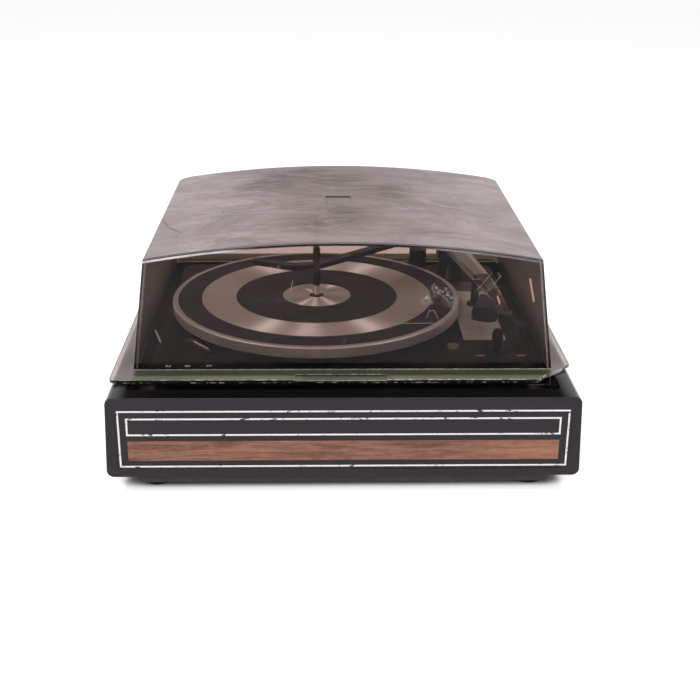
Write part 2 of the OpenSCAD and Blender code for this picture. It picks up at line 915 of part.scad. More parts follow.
module gear_stud() {
    color("#a9a9ad")
        at(gear_at) {
            translate([0, 0, deck_under - 2])
                cylinder(r = 3, h = gear_z + gear_t + 0.8 - deck_under + 2);
            translate([0, 0, deck_z])
                cylinder(r = 8, h = 2.9);
            translate([0, 0, gear_z + gear_t + 0.1])
                cylinder(r = 4.5, h = 0.7);
        }
}

// Motor, from its lower bracket to the pulley above the deck
motor_low = deck_z - 44;
lower_gap = 10;
upper_gap = 6;
stack_h = 18;
stack_low = motor_low + lower_gap;
stack_top = stack_low + stack_h;
bracket_up = stack_top + upper_gap;
stack_w = 62;
stack_d = 52;
stack_limb = 10;
window_w = 30;
window_d = 10.5;
window_y = 25.5;
rotor_r = 15;
bush_r = 5;
bush_h = 6;
bush_in = 3;
bolt_r = 1.5;
bolt_at = [[-26, -20], [26, -20], [-26, 20], [26, 20]];
coil_wall = 4.5;

module motor_laminations() {
    color("#77787c")
        at(motor_at, stack_low)
            difference() {
                translate([0, stack_limb / 2, 0])
                    plate(stack_w, stack_d + stack_limb, 2, stack_h);
                translate([0, 0, -1])
                    cylinder(r = rotor_r + 0.5, h = stack_h + 2);
                // Window behind the bore for the coil
                translate([0, window_y, stack_h / 2])
                    cube([window_w, window_d, stack_h + 2], center = true);
                for (p = bolt_at)
                    at(p, -1)
                        cylinder(r = bolt_r + loose, h = stack_h + 2);
            }
}

// Coil round the limb behind the window
module motor_coil() {
    limb = stack_d / 2 + stack_limb - window_y - window_d / 2;
    color("#a5623a")
        at(motor_at, stack_low)
            translate([0, window_y + window_d / 2 + limb / 2, stack_h / 2])
                rotate([0, 90, 0])
                    difference() {
                        translate([0, 0, 1 - window_w / 2])
                            plate(stack_h + 2 * coil_wall, limb + 2 * coil_wall, 3, window_w - 2);
                        cube([stack_h + 0.6, limb + 0.35, 2 * window_w], center = true);
                    }
}

module motor_upper_bracket() {
    color("#b9b9bd")
        at(motor_at, bracket_up)
            difference() {
                union() {
                    linear_extrude(2) {
                        for (p = mount_at)
                            bar([0, 0], p, 12);
                        square([60, 44], center = true);
                    }
                    translate([0, 0, -bush_in])
                        cylinder(r = bush_r + 3, h = bush_h);
                }
                translate([0, 0, -10])
                    cylinder(r = bush_r + run, h = 30);
                for (p = bolt_at)
                    at(p, -10)
                        cylinder(r = bolt_r + run, h = 30);
                at(mount_at[2], -10)
                    cylinder(r = 2.2, h = 30);
            }
}

module motor_lower_bracket() {
    color("#b9b9bd")
        at(motor_at, motor_low)
            difference() {
                union() {
                    plate(60, 50, 3, 2);
                    cylinder(r = bush_r + 3, h = bush_h);
                }
                translate([0, 0, -10])
                    cylinder(r = bush_r + run, h = 30);
                for (p = bolt_at)
                    at(p, -10)
                        cylinder(r = bolt_r + run, h = 30);
            }
}

module motor_bushes() {
    color("#a8803f")
        at(motor_at)
            for (z = [motor_low, bracket_up - bush_in])
                translate([0, 0, z])
                    ring(bush_r, shaft_d / 2 + run, bush_h);
}

module motor_bolts() {
    color("#8f8f93")
        at(motor_at)
            for (p = bolt_at)
                at(p) {
                    translate([0, 0, motor_low - 2])
                        cylinder(r = 3, h = 2);
                    translate([0, 0, motor_low - 1])
                        cylinder(r = bolt_r, h = bracket_up + 4.5 - motor_low);
                    translate([0, 0, bracket_up + 2])
                        cylinder(r = 3, h = 1.6);
                    // Sleeve that holds the stack between the brackets
                    translate([0, 0, motor_low + 2])
                        ring(3, bolt_r - 0.1, lower_gap - 2);
                    translate([0, 0, stack_top])
                        ring(3, bolt_r - 0.1, upper_gap);
                }
}

module motor_mounts() {
    color("#1d1c1d")
        at(motor_at)
            for (p = mount_at)
                at(p) {
                    // Rubber between bracket and deck, over the bolt's nut
                    translate([0, 0, bracket_up + 2])
                        ring(6, 3.2, deck_under - bracket_up - 2);
                    translate([0, 0, deck_under - 2])
                        ring(3.1, 2, deck_t + 2.5);
                    translate([0, 0, deck_under - 2])
                        ring(4, 2, 2);
                }
}

module rotor() {
    color("#9c9da1")
        at(motor_at) {
            translate([0, 0, stack_low + 1])
                cylinder(r = rotor_r, h = stack_h - 2);
            translate([0, 0, motor_low - 3])
                cylinder(d = shaft_d, h = idler_z + step_h - motor_low + 3);
        }
}

module motor_pulley() {
    color("#c2a050")
        at(motor_at, idler_z - 2 * step_h - 0.2)
            difference() {
                union() {
                    cylinder(r = step_r(78), h = step_h);
                    translate([0, 0, step_h])
                        cylinder(r = step_r(45), h = step_h);
                    translate([0, 0, 2 * step_h])
                        cylinder(r = step_r(100 / 3), h = step_h);
                }
                translate([0, 0, -1])
                    cylinder(d = shaft_d + 0.04, h = 40);
            }
}

module idler_arm() {
    color("#b9b9bd") {
        difference() {
            translate([0, 0, deck_z + 0.8])
                linear_extrude(1.6) {
                    bar(idler_pivot, idler_elbow, 9);
                    bar(idler_elbow, idler_at, 9);
                }
            at(idler_pivot, deck_z)
                cylinder(r = 2 + run, h = 10);
        }
        at(idler_at, deck_z + 0.8)
            cylinder(r = 1.5, h = idler_z + idler_t + 0.2 - deck_z - 0.8);
        at(idler_at, deck_z + 0.8)
            cylinder(r = 3, h = idler_z - 0.1 - deck_z - 0.8);
    }
}

module idler_stud() {
    color("#a9a9ad")
        at(idler_pivot) {
            translate([0, 0, deck_under - 2])
                cylinder(r = 2, h = deck_t + 5);
            translate([0, 0, deck_z])
                cylinder(r = 4, h = 0.7);
            translate([0, 0, deck_z + 2.5])
                cylinder(r = 3.5, h = 0.8);
        }
}

module idler_hub() {
    color("#d8d3c4")
        at(idler_at, idler_z)
            difference() {
                cylinder(d = idler_d - 5, h = idler_t);
                translate([0, 0, -1])
                    cylinder(r = 1.5 + run, h = 20);
                for (a = [0:60:300])
                    rotate(a)
                        translate([11, 0, -1])
                            cylinder(r = 3.5, h = 20);
            }
}

module idler_tyre() {
    color("#1d1c1d")
        at(idler_at, idler_z)
            ring(idler_d / 2, idler_d / 2 - 2.45, idler_t);
}

switch_at = [deck_w / 2 - 56, lid_y - 55];
switch_h = 14;
switch_flange_t = 2;
switch_tag_h = 6;

// Mains switch under the deck: flange, case and two solder tags
module power_switch() {
    color("#c9c4b4")
        at(switch_at, deck_under - switch_flange_t - switch_h) {
            plate(30, 18, 1.5, switch_h);
            translate([0, 0, switch_h])
                plate(40, 14, 1.5, switch_flange_t);
            for (s = [-1, 1])
                translate([8 * s, 0, -switch_tag_h])
                    plate(4, 1, 0.4, switch_tag_h + 0.5);
        }
}

// Tonearm: fixed pedestal, turning yoke, tilting bar
yoke_low = rim_z + 21;
cheek_in = 11;
cheek_t = 3;

module arm_pedestal() {
    color("#262527")
        at([arm_x, arm_y])
            difference() {
                union() {
                    translate([0, 0, deck_z])
                        cylinder(r1 = 14, r2 = 12, h = yoke_low - deck_z - 0.3);
                    translate([0, 0, deck_z - 16])
                        cylinder(r = 8, h = 17);
                    translate([0, 0, deck_under - 3])
                        cylinder(r = 12, h = 3);
                }
                translate([0, 0, deck_z - 20])
                    cylinder(r = 5 + run, h = 60);
            }
}

module in_arm() {
    at([arm_x, arm_y])
        rotate(bar_angle)
            children();
}

module arm_yoke() {
    color("#9b9996")
        in_arm()
            difference() {
                union() {
                    translate([0, 0, deck_z - 20])
                        cylinder(r = 5, h = yoke_low - deck_z + 21);
                    translate([0, 0, yoke_low])
                        cylinder(r = 14.5, h = 3);
                    for (s = [-1, 1])
                        translate([0, s * (cheek_in + cheek_t / 2), (yoke_low + 1 + arm_z + 5) / 2])
                            cube([12, cheek_t, arm_z + 5 - yoke_low - 1], center = true);
                    // Crank under the deck that the change mechanism moves
                    translate([0, 0, deck_z - 20])
                        linear_extrude(2)
                            bar([0, 0], [30, 10], 9);
                }
                translate([0, 0, arm_z])
                    rotate([90, 0, 0])
                        cylinder(r = 1.5 + 0.01, h = 80, center = true);
            }
}

module arm_pivot_pin() {
    color("#c9c7c4")
        in_arm()
            translate([0, 0, arm_z])
                rotate([90, 0, 0])
                    cylinder(r = 1.5, h = 2 * (cheek_in + cheek_t) + 1, center = true);
}

channel_end = bar_len - 12;

module arm_bar() {
    color("#a6a19b")
        in_arm()
            difference() {
                union() {
                    translate([0, 0, bar_low])
                        linear_extrude(2 * bar_half_h) {
                            polygon([[-10, -8], [-10, 8], [22, 9], [bar_len, 6], [bar_len, -6], [22, -9]]);
                            translate([bar_len, 0])
                                circle(r = 6);
                        }
                    translate([-34, 0, arm_z])
                        rotate([0, 90, 0])
                            cylinder(r = 3, h = 26);
                }
                // Open channel along the underside
                translate([0, 0, bar_low - 1])
                    linear_extrude(2 * bar_half_h - 0.8)
                        polygon([[16, -7.2], [16, 7.2], [22, 7.3], [channel_end, 4.6], [channel_end, -4.6],
                            [22, -7.3]]);
                translate([0, 0, arm_z])
                    rotate([90, 0, 0])
                        cylinder(r = 1.5 + run, h = 80, center = true);
            }
}

module in_head() {
    at(head_at)
        rotate(head_angle)
            children();
}

cart_l = 22;
cart_w = 13;
cart_mid = head_len - stylus_from_front - 6;

module headshell() {
    half = head_w / 2;
    color("#1e1d1f")
        in_head()
            difference() {
                union() {
                    translate([0, 0, head_low])
                        linear_extrude(bar_low - head_low)
                            polygon([[-8, -7], [-8, 7], [10, half], [head_len - 3, half],
                                [head_len, half - 3], [head_len, 3 - half], [head_len - 3, -half],
                                [10, -half]]);
                    translate([0, 0, bar_low - 1])
                        linear_extrude(5)
                            polygon([[10, 1 - half], [10, half - 1], [head_len - 2, half - 2],
                                [head_len - 2, 2 - half]]);
                }
                translate([cart_mid, 0, head_low - 1])
                    plate(cart_l + 2, cart_w + 4, 1, 8);
            }
}

module cartridge() {
    color("#d0ccc2")
        in_head()
            translate([cart_mid, 0, head_low - 2.5])
                plate(cart_l, cart_w, 1, 9.5);
}

stylus_tip = mat_z + 1.75;

module stylus() {
    color("#c2a050")
        in_head() {
            translate([head_len - stylus_from_front, 0, stylus_tip])
                cylinder(r1 = 0.25, r2 = 0.7, h = 2);
            translate([head_len - stylus_from_front - 5, 0, stylus_tip + 1.6])
                linear_extrude(head_low - 2.5 - stylus_tip - 1.6)
                    square([12, 2.4], center = true);
        }
}

module finger_lift() {
    color("#d5d3cf")
        in_head()
            translate([head_len - 12, head_w / 2, bar_low - 3]) {
                linear_extrude(0.9)
                    polygon([[-4, 0], [4, 0], [3.5, 12], [-1, 12]]);
                translate([1.2, 12, 0])
                    linear_extrude(4)
                        square([4.5, 0.9], center = true);
            }
}

module counterweight() {
    color("#262527")
        in_arm()
            translate([-31.5, 0, arm_z])
                rotate([0, 90, 0])
                    ring(weight_d / 2, 3 + 0.02, 14);
}

rest_at = [arm_x + rest_part * bar_len * cos(bar_angle), arm_y + rest_part * bar_len * sin(bar_angle)];

module arm_rest() {
    color("#1e1d1f")
        at(rest_at)
            rotate(bar_angle) {
                translate([0, 0, deck_under - 4])
                    cylinder(r = 3, h = 8);
                translate([0, 0, deck_z])
                    cylinder(r = 7.5, h = 3);
                translate([0, 0, deck_z])
                    cylinder(r = 4, h = bar_low - 2 - deck_z);
                translate([0, 3, bar_low - 4])
                    plate(9, 18, 1.5, 2.4);
                // Outer lip: the arm leaves over the open inner side
                translate([0, 11, bar_low - 4])
                    plate(9, 2.4, 1, 10);
            }
}

module overarm_bush() {
    color("#262527")
        at([over_x, over_y])
            difference() {
                union() {
                    translate([0, 0, deck_z])
                        cylinder(r1 = 9.5, r2 = 9, h = 30);
                    translate([0, 0, deck_z - 30])
                        cylinder(r = 6.5, h = 31);
                }
                translate([0, 0, deck_z - 40])
                    cylinder(d = over_shaft_d + 2 * run, h = 80);
            }
}

over_hub_h = 8;

module overarm_shaft() {
    color("#b9b9bd")
        at([over_x, over_y]) {
            translate([0, 0, deck_z - 38])
                cylinder(d = over_shaft_d, h = over_z + 3.5 - deck_z + 38);
            translate([0, 0, over_z - 7.5])
                cylinder(d = over_shaft_d + 4, h = 3);
        }
}

module overarm() {
    color("#232224")
        difference() {
            union() {
                translate([0, 0, over_z - 2.5])
                    linear_extrude(5) {
                        for (i = [0:2])
                            bar(over_path[i], over_path[i + 1], over_w);
                    }
                at(over_path[0], over_z - 4.4)
                    cylinder(r = 8.5, h = over_hub_h + 1.5);
            }
            at(over_path[0], over_z - 10)
                cylinder(d = over_shaft_d + 2 * run, h = 13.6);
        }
}

module speed_lever() {
    color("#c9c1ae")
        at([speed_x, speed_y])
            rotate(speed_angle) {
                translate([0, 0, deck_z + 0.6])
                    linear_extrude(1.8)
                        bar([0, 0], [speed_len, 0], 5.5);
                translate([0, 0, deck_z + 0.6])
                    cylinder(r = 4.2, h = 3);
                translate([0, 0, deck_z - 6])
                    cylinder(r = 2.5, h = 8);
                translate([speed_len / 2 + 2, 0, deck_z + 2])
                    plate(speed_len - 6, 1.6, 0.7, 2.2);
            }
}

module control_lever() {
    color("#b9b9bd")
        at([knob_x, knob_y]) {
            translate([0, 0, deck_z - 12])
                plate(6, 3, 0.5, 22);
            translate([0, 0, deck_under - 5])
                plate(34, 12, 2, 1.6);
        }
}

module control_knob() {
    color("#171718")
        at([knob_x, knob_y], deck_z + 1)
            difference() {
                union() {
                    cylinder(d1 = knob_d - 1, d2 = knob_d, h = knob_h - 5);
                    translate([0, 0, knob_h - 5])
                        cylinder(d1 = knob_d, d2 = knob_d - 4, h = 4);
                }
                translate([0, 0, -1])
                    plate(6.1, 3.1, 0.5, 10.2);
            }
}

plinth();
outer_pinstripe();
inner_pinstripe();
walnut_strip();
bottom_pan();
pan_screws();
foot_front_left();
foot_front_right();
foot_back_left();
foot_back_right();
foot_screws();
mains_grommet();
signal_grommet();
lid();
deck_plate();
deck_springs();
transit_screws();
deck_trim();
centre_post();
thrust_race();
circlip();
spindle();
platter();
outer_mat();
silver_ring();
inner_mat();
centre_disc();
hub_pinion();
motor_laminations();
motor_coil();
motor_upper_bracket();
motor_lower_bracket();
motor_bushes();
motor_bolts();
motor_mounts();
rotor();
motor_pulley();
idler_arm();
idler_stud();
idler_hub();
idler_tyre();
change_gear();
gear_stud();
power_switch();
arm_pedestal();
arm_yoke();
arm_pivot_pin();
arm_bar();
headshell();
cartridge();
stylus();
finger_lift();
counterweight();
arm_rest();
overarm_bush();
overarm_shaft();
overarm();
speed_lever();
control_lever();
control_knob();
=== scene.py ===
"""Looks of a stacking record changer under a scratched smoked cover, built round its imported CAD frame.

Metres in the CAD frame: +Z up, the front faces -Y, the origin is on the table under the middle.
"""
import math

import bmesh
import bpy
from mathutils import Matrix, Vector


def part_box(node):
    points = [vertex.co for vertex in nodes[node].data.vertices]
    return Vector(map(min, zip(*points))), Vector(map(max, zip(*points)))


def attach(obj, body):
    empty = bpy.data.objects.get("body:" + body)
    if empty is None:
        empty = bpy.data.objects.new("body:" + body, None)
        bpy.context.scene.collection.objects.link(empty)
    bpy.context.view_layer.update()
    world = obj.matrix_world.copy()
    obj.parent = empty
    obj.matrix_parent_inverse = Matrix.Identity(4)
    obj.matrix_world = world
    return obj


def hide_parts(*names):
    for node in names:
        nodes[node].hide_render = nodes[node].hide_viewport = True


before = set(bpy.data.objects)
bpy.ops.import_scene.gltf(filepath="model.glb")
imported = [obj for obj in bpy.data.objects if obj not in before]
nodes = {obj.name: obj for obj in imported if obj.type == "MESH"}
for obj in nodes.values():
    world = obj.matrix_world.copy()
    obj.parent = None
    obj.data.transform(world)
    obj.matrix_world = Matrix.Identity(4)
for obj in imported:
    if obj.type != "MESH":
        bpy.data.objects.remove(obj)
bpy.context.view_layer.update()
MM = 0.001


def middle(node):
    """Middle of a node's box at rest."""
    low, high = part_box(node)
    return (Vector(low) + Vector(high)) / 2


def top_of(node):
    """Height of a node's top at rest."""
    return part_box(node)[1][2]


# Places that several looks share, read from the frame
SPINDLE = middle("circlip")
RIM_Z = top_of("plinth")
DECK_Z = top_of("deck_plate")
LID_LOW, LID_HIGH = (Vector(corner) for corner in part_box("lid"))
PLINTH_LOW, PLINTH_HIGH = (Vector(corner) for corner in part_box("plinth"))

# Shape of the cover: its flat flange, its walls, which lean in by a share of their rise, and its arched top
FLANGE_TOP = RIM_Z + 3 * MM
WALL_FOOT_X = LID_HIGH.x - 17.75 * MM
WALL_FOOT_Y = LID_LOW.y + 22.25 * MM
WALL_LEAN = 0.1206
ARCH_R = 1008 * MM

# Share of a painted scratch's width that is drawn in full
STROKE_CORE = 0.35


def tone(red, green, blue):
    """A screen colour, 0 to 255, as linear light."""
    return tuple(
        c / 12.92 if c <= 0.04045 else ((c + 0.055) / 1.055) ** 2.4
        for c in (red / 255, green / 255, blue / 255)
    )


def shade(colour, factor):
    """A colour made darker or lighter."""
    return tuple(min(1, c * factor) for c in colour)


class Steps:
    """One node tree, with short calls for the steps that the looks repeat."""

    def __init__(self, tree):
        self.tree = tree

    def add(self, kind, inputs=None, **settings):
        """Adds a node, makes its settings and feeds its inputs."""
        node = self.tree.nodes.new("ShaderNode" + kind)
        for name, value in settings.items():
            setattr(node, name, value)
        for key, value in (inputs or {}).items():
            self.feed(node.inputs[key], value)
        return node

    def feed(self, socket, value):
        """Links another node's output to a socket, or sets a constant on it."""
        if isinstance(value, bpy.types.NodeSocket):
            self.tree.links.new(value, socket)
        elif socket.type == "RGBA":
            socket.default_value = (*value[:3], 1)
        else:
            socket.default_value = value

    def calc(self, kind, a, b=0.0, c=0.0):
        """One step of arithmetic."""
        return self.add("Math", {0: a, 1: b, 2: c}, operation=kind).outputs[0]

    def vector(self, kind, a, b=(0, 0, 0)):
        node = self.add("VectorMath", {0: a, 1: b}, operation=kind)
        return node.outputs["Value" if kind in ("LENGTH", "DOT_PRODUCT", "DISTANCE") else "Vector"]

    def scaled(self, vector, share):
        return self.add("VectorMath", {0: vector, "Scale": share}, operation="SCALE").outputs["Vector"]

    def both(self, first, *others):
        """The product of several shares: 1 only where each of them is."""
        for other in others:
            first = self.calc("MULTIPLY", first, other)
        return first

    def most(self, first, *others):
        """The largest of several shares."""
        for other in others:
            first = self.calc("MAXIMUM", first, other)
        return first

    def inverse(self, share):
        return self.calc("SUBTRACT", 1.0, share)

    def ease(self, value, low, high, out_low=0.0, out_high=1.0):
        """A smooth step from out_low at low to out_high at high."""
        inputs = {0: value, 1: low, 2: high, 3: out_low, 4: out_high}
        return self.add("MapRange", inputs, interpolation_type="SMOOTHSTEP").outputs[0]

    def band(self, value, low, start, end, high):
        """1 from start to end, easing to 0 at low and at high."""
        return self.both(self.ease(value, low, start), self.ease(value, high, end))

    def level(self, share, a, b):
        """Number a where share is 0, b where it is 1."""
        return self.add("Mix", {0: share, 2: a, 3: b}).outputs[0]

    def mix(self, share, a, b):
        """Colour a where share is 0, b where it is 1."""
        return self.add("Mix", {0: share, 6: a, 7: b}, data_type="RGBA").outputs[2]

    def coats(self, base, *layers):
        """Colours laid over a base one after the other, each given with its share."""
        for share, colour in layers:
            base = self.mix(share, base, colour)
        return base


class Paint(Steps):
    """One material, drawn over the object's own coordinates, which are the CAD frame's."""

    def __init__(self, name):
        self.material = bpy.data.materials.new(name)
        self.material.use_nodes = True
        super().__init__(self.material.node_tree)
        self.tree.nodes.clear()
        self.output = self.add("OutputMaterial")
        self.place = self.add("TexCoord").outputs["Object"]
        self.facing = self.add("NewGeometry").outputs["Normal"]

    def axis(self, name, of=None):
        return self.add("SeparateXYZ", {0: of or self.place}).outputs[name]

    def noise(self, scale, detail, rough=0.5, stretch=(1, 1, 1), shift=(0, 0, 0), warp=0.0, at=None):
        """Noise with scale waves a metre. A small stretch number draws it out along that axis."""
        place = self.add("Mapping", {"Vector": at or self.place, "Scale": stretch, "Location": shift})
        inputs = {"Vector": place.outputs[0], "Scale": scale, "Detail": detail}
        inputs.update({"Roughness": rough, "Distortion": warp})
        return self.add("TexNoise", inputs).outputs[0]

    def outward(self):
        """The direction out of the solid, on whichever side of the surface the ray is."""
        back = self.add("NewGeometry").outputs["Backfacing"]
        return self.scaled(self.facing, self.calc("MULTIPLY_ADD", back, -2.0, 1.0))

    def radius(self):
        """Distance from the spindle's axis."""
        away = self.vector("SUBTRACT", self.place, tuple(SPINDLE))
        return self.vector("LENGTH", self.vector("MULTIPLY", away, (1, 1, 0)))

    def stroke(self, flat, start, end, width):
        """1 along a straight scratch between two points, fading to 0 at width beside it."""
        along = Vector(end) - Vector(start)
        away = self.vector("SUBTRACT", flat, tuple(start))
        share = self.add("Clamp", {0: self.vector("DOT_PRODUCT", away, tuple(along / along.length_squared))})
        gap = self.vector("DISTANCE", away, self.scaled(tuple(along), share.outputs[0]))
        return self.ease(gap, width, width * STROKE_CORE)

    def spot(self, flat, centre, size):
        """A soft round spot: 1 in its middle, 0 from size on."""
        return self.ease(self.vector("DISTANCE", flat, tuple(centre)), size, 0.0)

    def rounded(self, size):
        """The surface direction with its edges eased, as a moulding or a pressing has them."""
        return self.add("Bevel", {"Radius": size}, samples=4).outputs[0]

    def edge(self, size=0.8 * MM):
        """1 along sharp edges, 0 on the flats."""
        return self.ease(self.vector("DOT_PRODUCT", self.rounded(size), self.facing), 0.995, 0.86)

    def bump(self, height, depth, normal):
        return self.add("Bump", {"Height": height, "Distance": depth, "Normal": normal}).outputs[0]

    def shader(self, colour, roughness, normal=None, **constants):
        inputs = {"Base Color": colour, "Roughness": roughness}
        if normal is not None:
            inputs["Normal"] = normal
        inputs.update({key.replace("_", " "): value for key, value in constants.items()})
        return self.add("BsdfPrincipled", inputs).outputs[0]

    def blend(self, share, a, b):
        """Shader a where share is 0, b where it is 1."""
        return self.add("MixShader", {0: share, 1: a, 2: b}).outputs[0]

    def done(self, shader):
        self.feed(self.output.inputs["Surface"], shader)
        return self.material


def moulded(name, colour, worn, roughness=0.45, grain=0.05 * MM, wear=0.5, specular=0.3):
    """Moulded plastic or satin paint: cloudy tone, fine stipple, dust, rubbed edges."""
    p = Paint(name)
    clouds = p.ease(p.noise(14, 4, 0.6), 0.3, 0.75)
    dust = p.ease(p.noise(900, 2, 0.6), 0.62, 0.8, 0, 0.35)
    rubbed = p.both(p.edge(), p.ease(p.noise(160, 3, 0.6), 0.35, 0.7, 0, wear))
    body = p.coats(colour, (clouds, shade(colour, 1.35)), (dust, worn), (rubbed, worn))
    gloss = p.ease(p.noise(55, 4, 0.65, warp=0.6), 0.3, 0.75, roughness - 0.08, roughness + 0.12)
    normal = p.bump(p.noise(2600, 2, 0.5), grain, p.rounded(0.6 * MM))
    return p.done(p.shader(body, gloss, normal, Specular_IOR_Level=specular))


def metal(name, colour, roughness, brush=(1, 1, 1), brush_scale=900, tarnish=0.25, metallic=1.0):
    """Metal with a brushed or plain grain, faint tarnish and bright rubbed edges."""
    p = Paint(name)
    lines = p.noise(brush_scale, 3, 0.6, stretch=brush)
    stain = p.ease(p.noise(45, 4, 0.65, warp=0.8), 0.45, 0.8, 0, tarnish)
    body = p.coats(
        colour,
        (stain, shade(colour, 0.55)),
        (p.ease(lines, 0.35, 0.7, 0, 0.25), shade(colour, 0.78)),
        (p.both(p.edge(0.5 * MM), 0.5), shade(colour, 1.3)),
    )
    gloss = p.ease(lines, 0.3, 0.7, roughness - 0.06, roughness + 0.08)
    normal = p.bump(lines, 0.012 * MM, p.rounded(0.3 * MM))
    return p.done(p.shader(body, gloss, normal, Metallic=metallic))


def rubber(name, colour, dusty, ribs=None):
    """Rubber with a dusty bloom. With ribs, their pitch, fine rings run round the spindle, darker in their
    hollows.
    """
    p = Paint(name)
    bloom = p.ease(p.noise(38, 5, 0.7, warp=0.9), 0.42, 0.8, 0, 0.55)
    specks = p.ease(p.noise(700, 2, 0.6), 0.66, 0.8, 0, 0.6)
    mottle = p.ease(p.noise(190, 4, 0.75), 0.4, 0.7, 0, 0.35)
    body = p.mix(p.most(bloom, mottle, specks), colour, dusty)
    normal = p.rounded(0.4 * MM)
    if ribs:
        wave = p.calc("SINE", p.both(p.radius(), 2 * math.pi / ribs))
        # Darker in the rings' hollows
        body = p.mix(p.ease(wave, -1, -0.4, 0.35, 0), body, shade(colour, 0.5))
        normal = p.bump(wave, 0.01 * MM, normal)
    normal = p.bump(p.noise(1800, 2, 0.5), 0.0015 * MM, normal)
    return p.done(p.shader(body, 0.6, normal, Specular_IOR_Level=0.16))


def spun(name, colour):
    """Aluminium turned on a lathe: rings round the spindle, and glints that stand along the radius."""
    p = Paint(name)
    at = p.add("CombineXYZ", {0: p.radius()}).outputs[0]
    rings = p.noise(2600, 3, 0.7, at=at)
    broad = p.noise(160, 2, 0.5, at=at)
    smudge = p.noise(30, 5, 0.7, warp=1.2)
    body = p.coats(
        colour,
        (p.ease(rings, 0.3, 0.7, 0, 0.3), shade(colour, 0.75)),
        (p.ease(broad, 0.4, 0.7, 0, 0.2), shade(colour, 0.85)),
        (p.ease(smudge, 0.5, 0.85, 0, 0.35), shade(colour, 0.6)),
    )
    gloss = p.ease(rings, 0.3, 0.7, 0.45, 0.56)
    tangent = p.add("Tangent", direction_type="RADIAL", axis="Z").outputs[0]
    normal = p.bump(rings, 0.008 * MM, p.rounded(0.3 * MM))
    return p.done(p.shader(
        body, gloss, normal, Metallic=1.0, Anisotropic=1.0, Anisotropic_Rotation=0.25, Tangent=tangent,
    ))


def walnut():
    """Walnut strip: brown figure drawn out along the fascia, dark streaks, short pores, a paler right end."""
    p = Paint("walnut")
    figure = p.noise(70, 5, 0.6, stretch=(0.09, 1, 1), warp=1.4)
    streak = p.noise(170, 4, 0.65, stretch=(0.05, 1, 1), shift=(0.3, 0, 0), warp=0.8)
    pores = p.noise(1500, 2, 0.6, stretch=(0.06, 1, 1))
    fleck = p.noise(260, 3, 0.6, stretch=(0.3, 1, 1), warp=0.6)
    fibre = p.noise(900, 4, 0.7, stretch=(0.025, 1, 1), warp=0.3)
    body = p.coats(
        tone(104, 66, 52),
        (p.ease(figure, 0.3, 0.7), tone(150, 104, 84)),
        (p.ease(fleck, 0.4, 0.72, 0, 0.5), tone(168, 118, 95)),
        (p.ease(streak, 0.52, 0.7, 0, 0.75), tone(72, 44, 36)),
        (p.ease(pores, 0.58, 0.72, 0, 0.6), tone(58, 36, 30)),
        (p.ease(p.axis("X"), 70 * MM, 175 * MM, 0, 0.3), tone(192, 132, 103)),
        (p.ease(fibre, 0.5, 0.64, 0, 0.5), tone(84, 52, 40)),
        (p.ease(fibre, 0.46, 0.34, 0, 0.4), tone(186, 134, 104)),
    )
    gloss = p.ease(streak, 0.3, 0.8, 0.38, 0.55)
    normal = p.bump(pores, 0.02 * MM, p.rounded(0.3 * MM))
    return p.done(p.shader(body, gloss, normal, Specular_IOR_Level=0.3))


def foil():
    """White-silver foil of the pinstripes, nicked down to the black plastic."""
    p = Paint("stripe_foil")
    soil = p.ease(p.noise(60, 3, 0.6), 0.4, 0.75, 0, 0.25)
    nick = p.ease(p.noise(420, 3, 0.7, stretch=(0.5, 1, 1)), 0.575, 0.61)
    worn = p.both(nick, p.ease(p.noise(24, 2, 0.5), 0.42, 0.56, 0.1, 1))
    body = p.coats(tone(247, 245, 241), (soil, tone(214, 208, 200)), (worn, tone(28, 26, 28)))
    normal = p.bump(nick, -0.05 * MM, p.rounded(0.2 * MM))
    return p.done(p.shader(body, 0.35, normal, Specular_IOR_Level=0.4))


def plinth_plastic():
    """Black moulded plinth: fine stipple, scuffs along the fascia, rubbed long edges, and painted shade on
    the front ledge under the cover's flange.
    """
    p = Paint("plinth_plastic")
    worn = tone(80, 75, 80)
    clouds = p.ease(p.noise(9, 5, 0.65, warp=0.6), 0.3, 0.75)
    scuffs = p.ease(p.noise(90, 5, 0.75, stretch=(0.35, 1, 1), warp=1.0), 0.64, 0.82, 0, 0.3)
    dust = p.ease(p.noise(800, 2, 0.6), 0.66, 0.8, 0, 0.2)
    rubbed = p.both(p.edge(1.0 * MM), p.ease(p.noise(70, 4, 0.7), 0.4, 0.75, 0, 0.35))
    body = p.coats(
        tone(13, 10, 15),
        (clouds, tone(21, 17, 23)),
        (scuffs, worn),
        (dust, worn),
        (rubbed, tone(100, 96, 98)),
    )
    gloss = p.ease(p.noise(40, 4, 0.7, warp=0.8), 0.3, 0.75, 0.18, 0.28)
    normal = p.bump(p.noise(2200, 2, 0.5), 0.003 * MM, p.rounded(0.8 * MM))
    fascia = p.shader(body, gloss, normal, Specular_IOR_Level=0.32, Specular_Tint=(1.0, 0.92, 0.99))
    # Painted shade on the front ledge under the cover's flange: near-black and matte, with dust on it
    ledge_shade_and_dust = p.coats(tone(8, 8, 8), (clouds, tone(13, 12, 13)), (p.both(dust, 0.8), worn))
    ledge = p.shader(ledge_shade_and_dust, 0.7, normal, Specular_IOR_Level=0.02)
    flat = p.ease(p.axis("Z", p.facing), 0.6, 0.9)
    before_wall = p.ease(p.axis("Y"), WALL_FOOT_Y - 6.5 * MM, WALL_FOOT_Y - 14.5 * MM)
    between_ends = p.ease(p.calc("ABSOLUTE", p.axis("X")), WALL_FOOT_X + 12 * MM, WALL_FOOT_X - 2 * MM)
    return p.done(p.blend(p.both(flat, before_wall, between_ends), fascia, ledge))


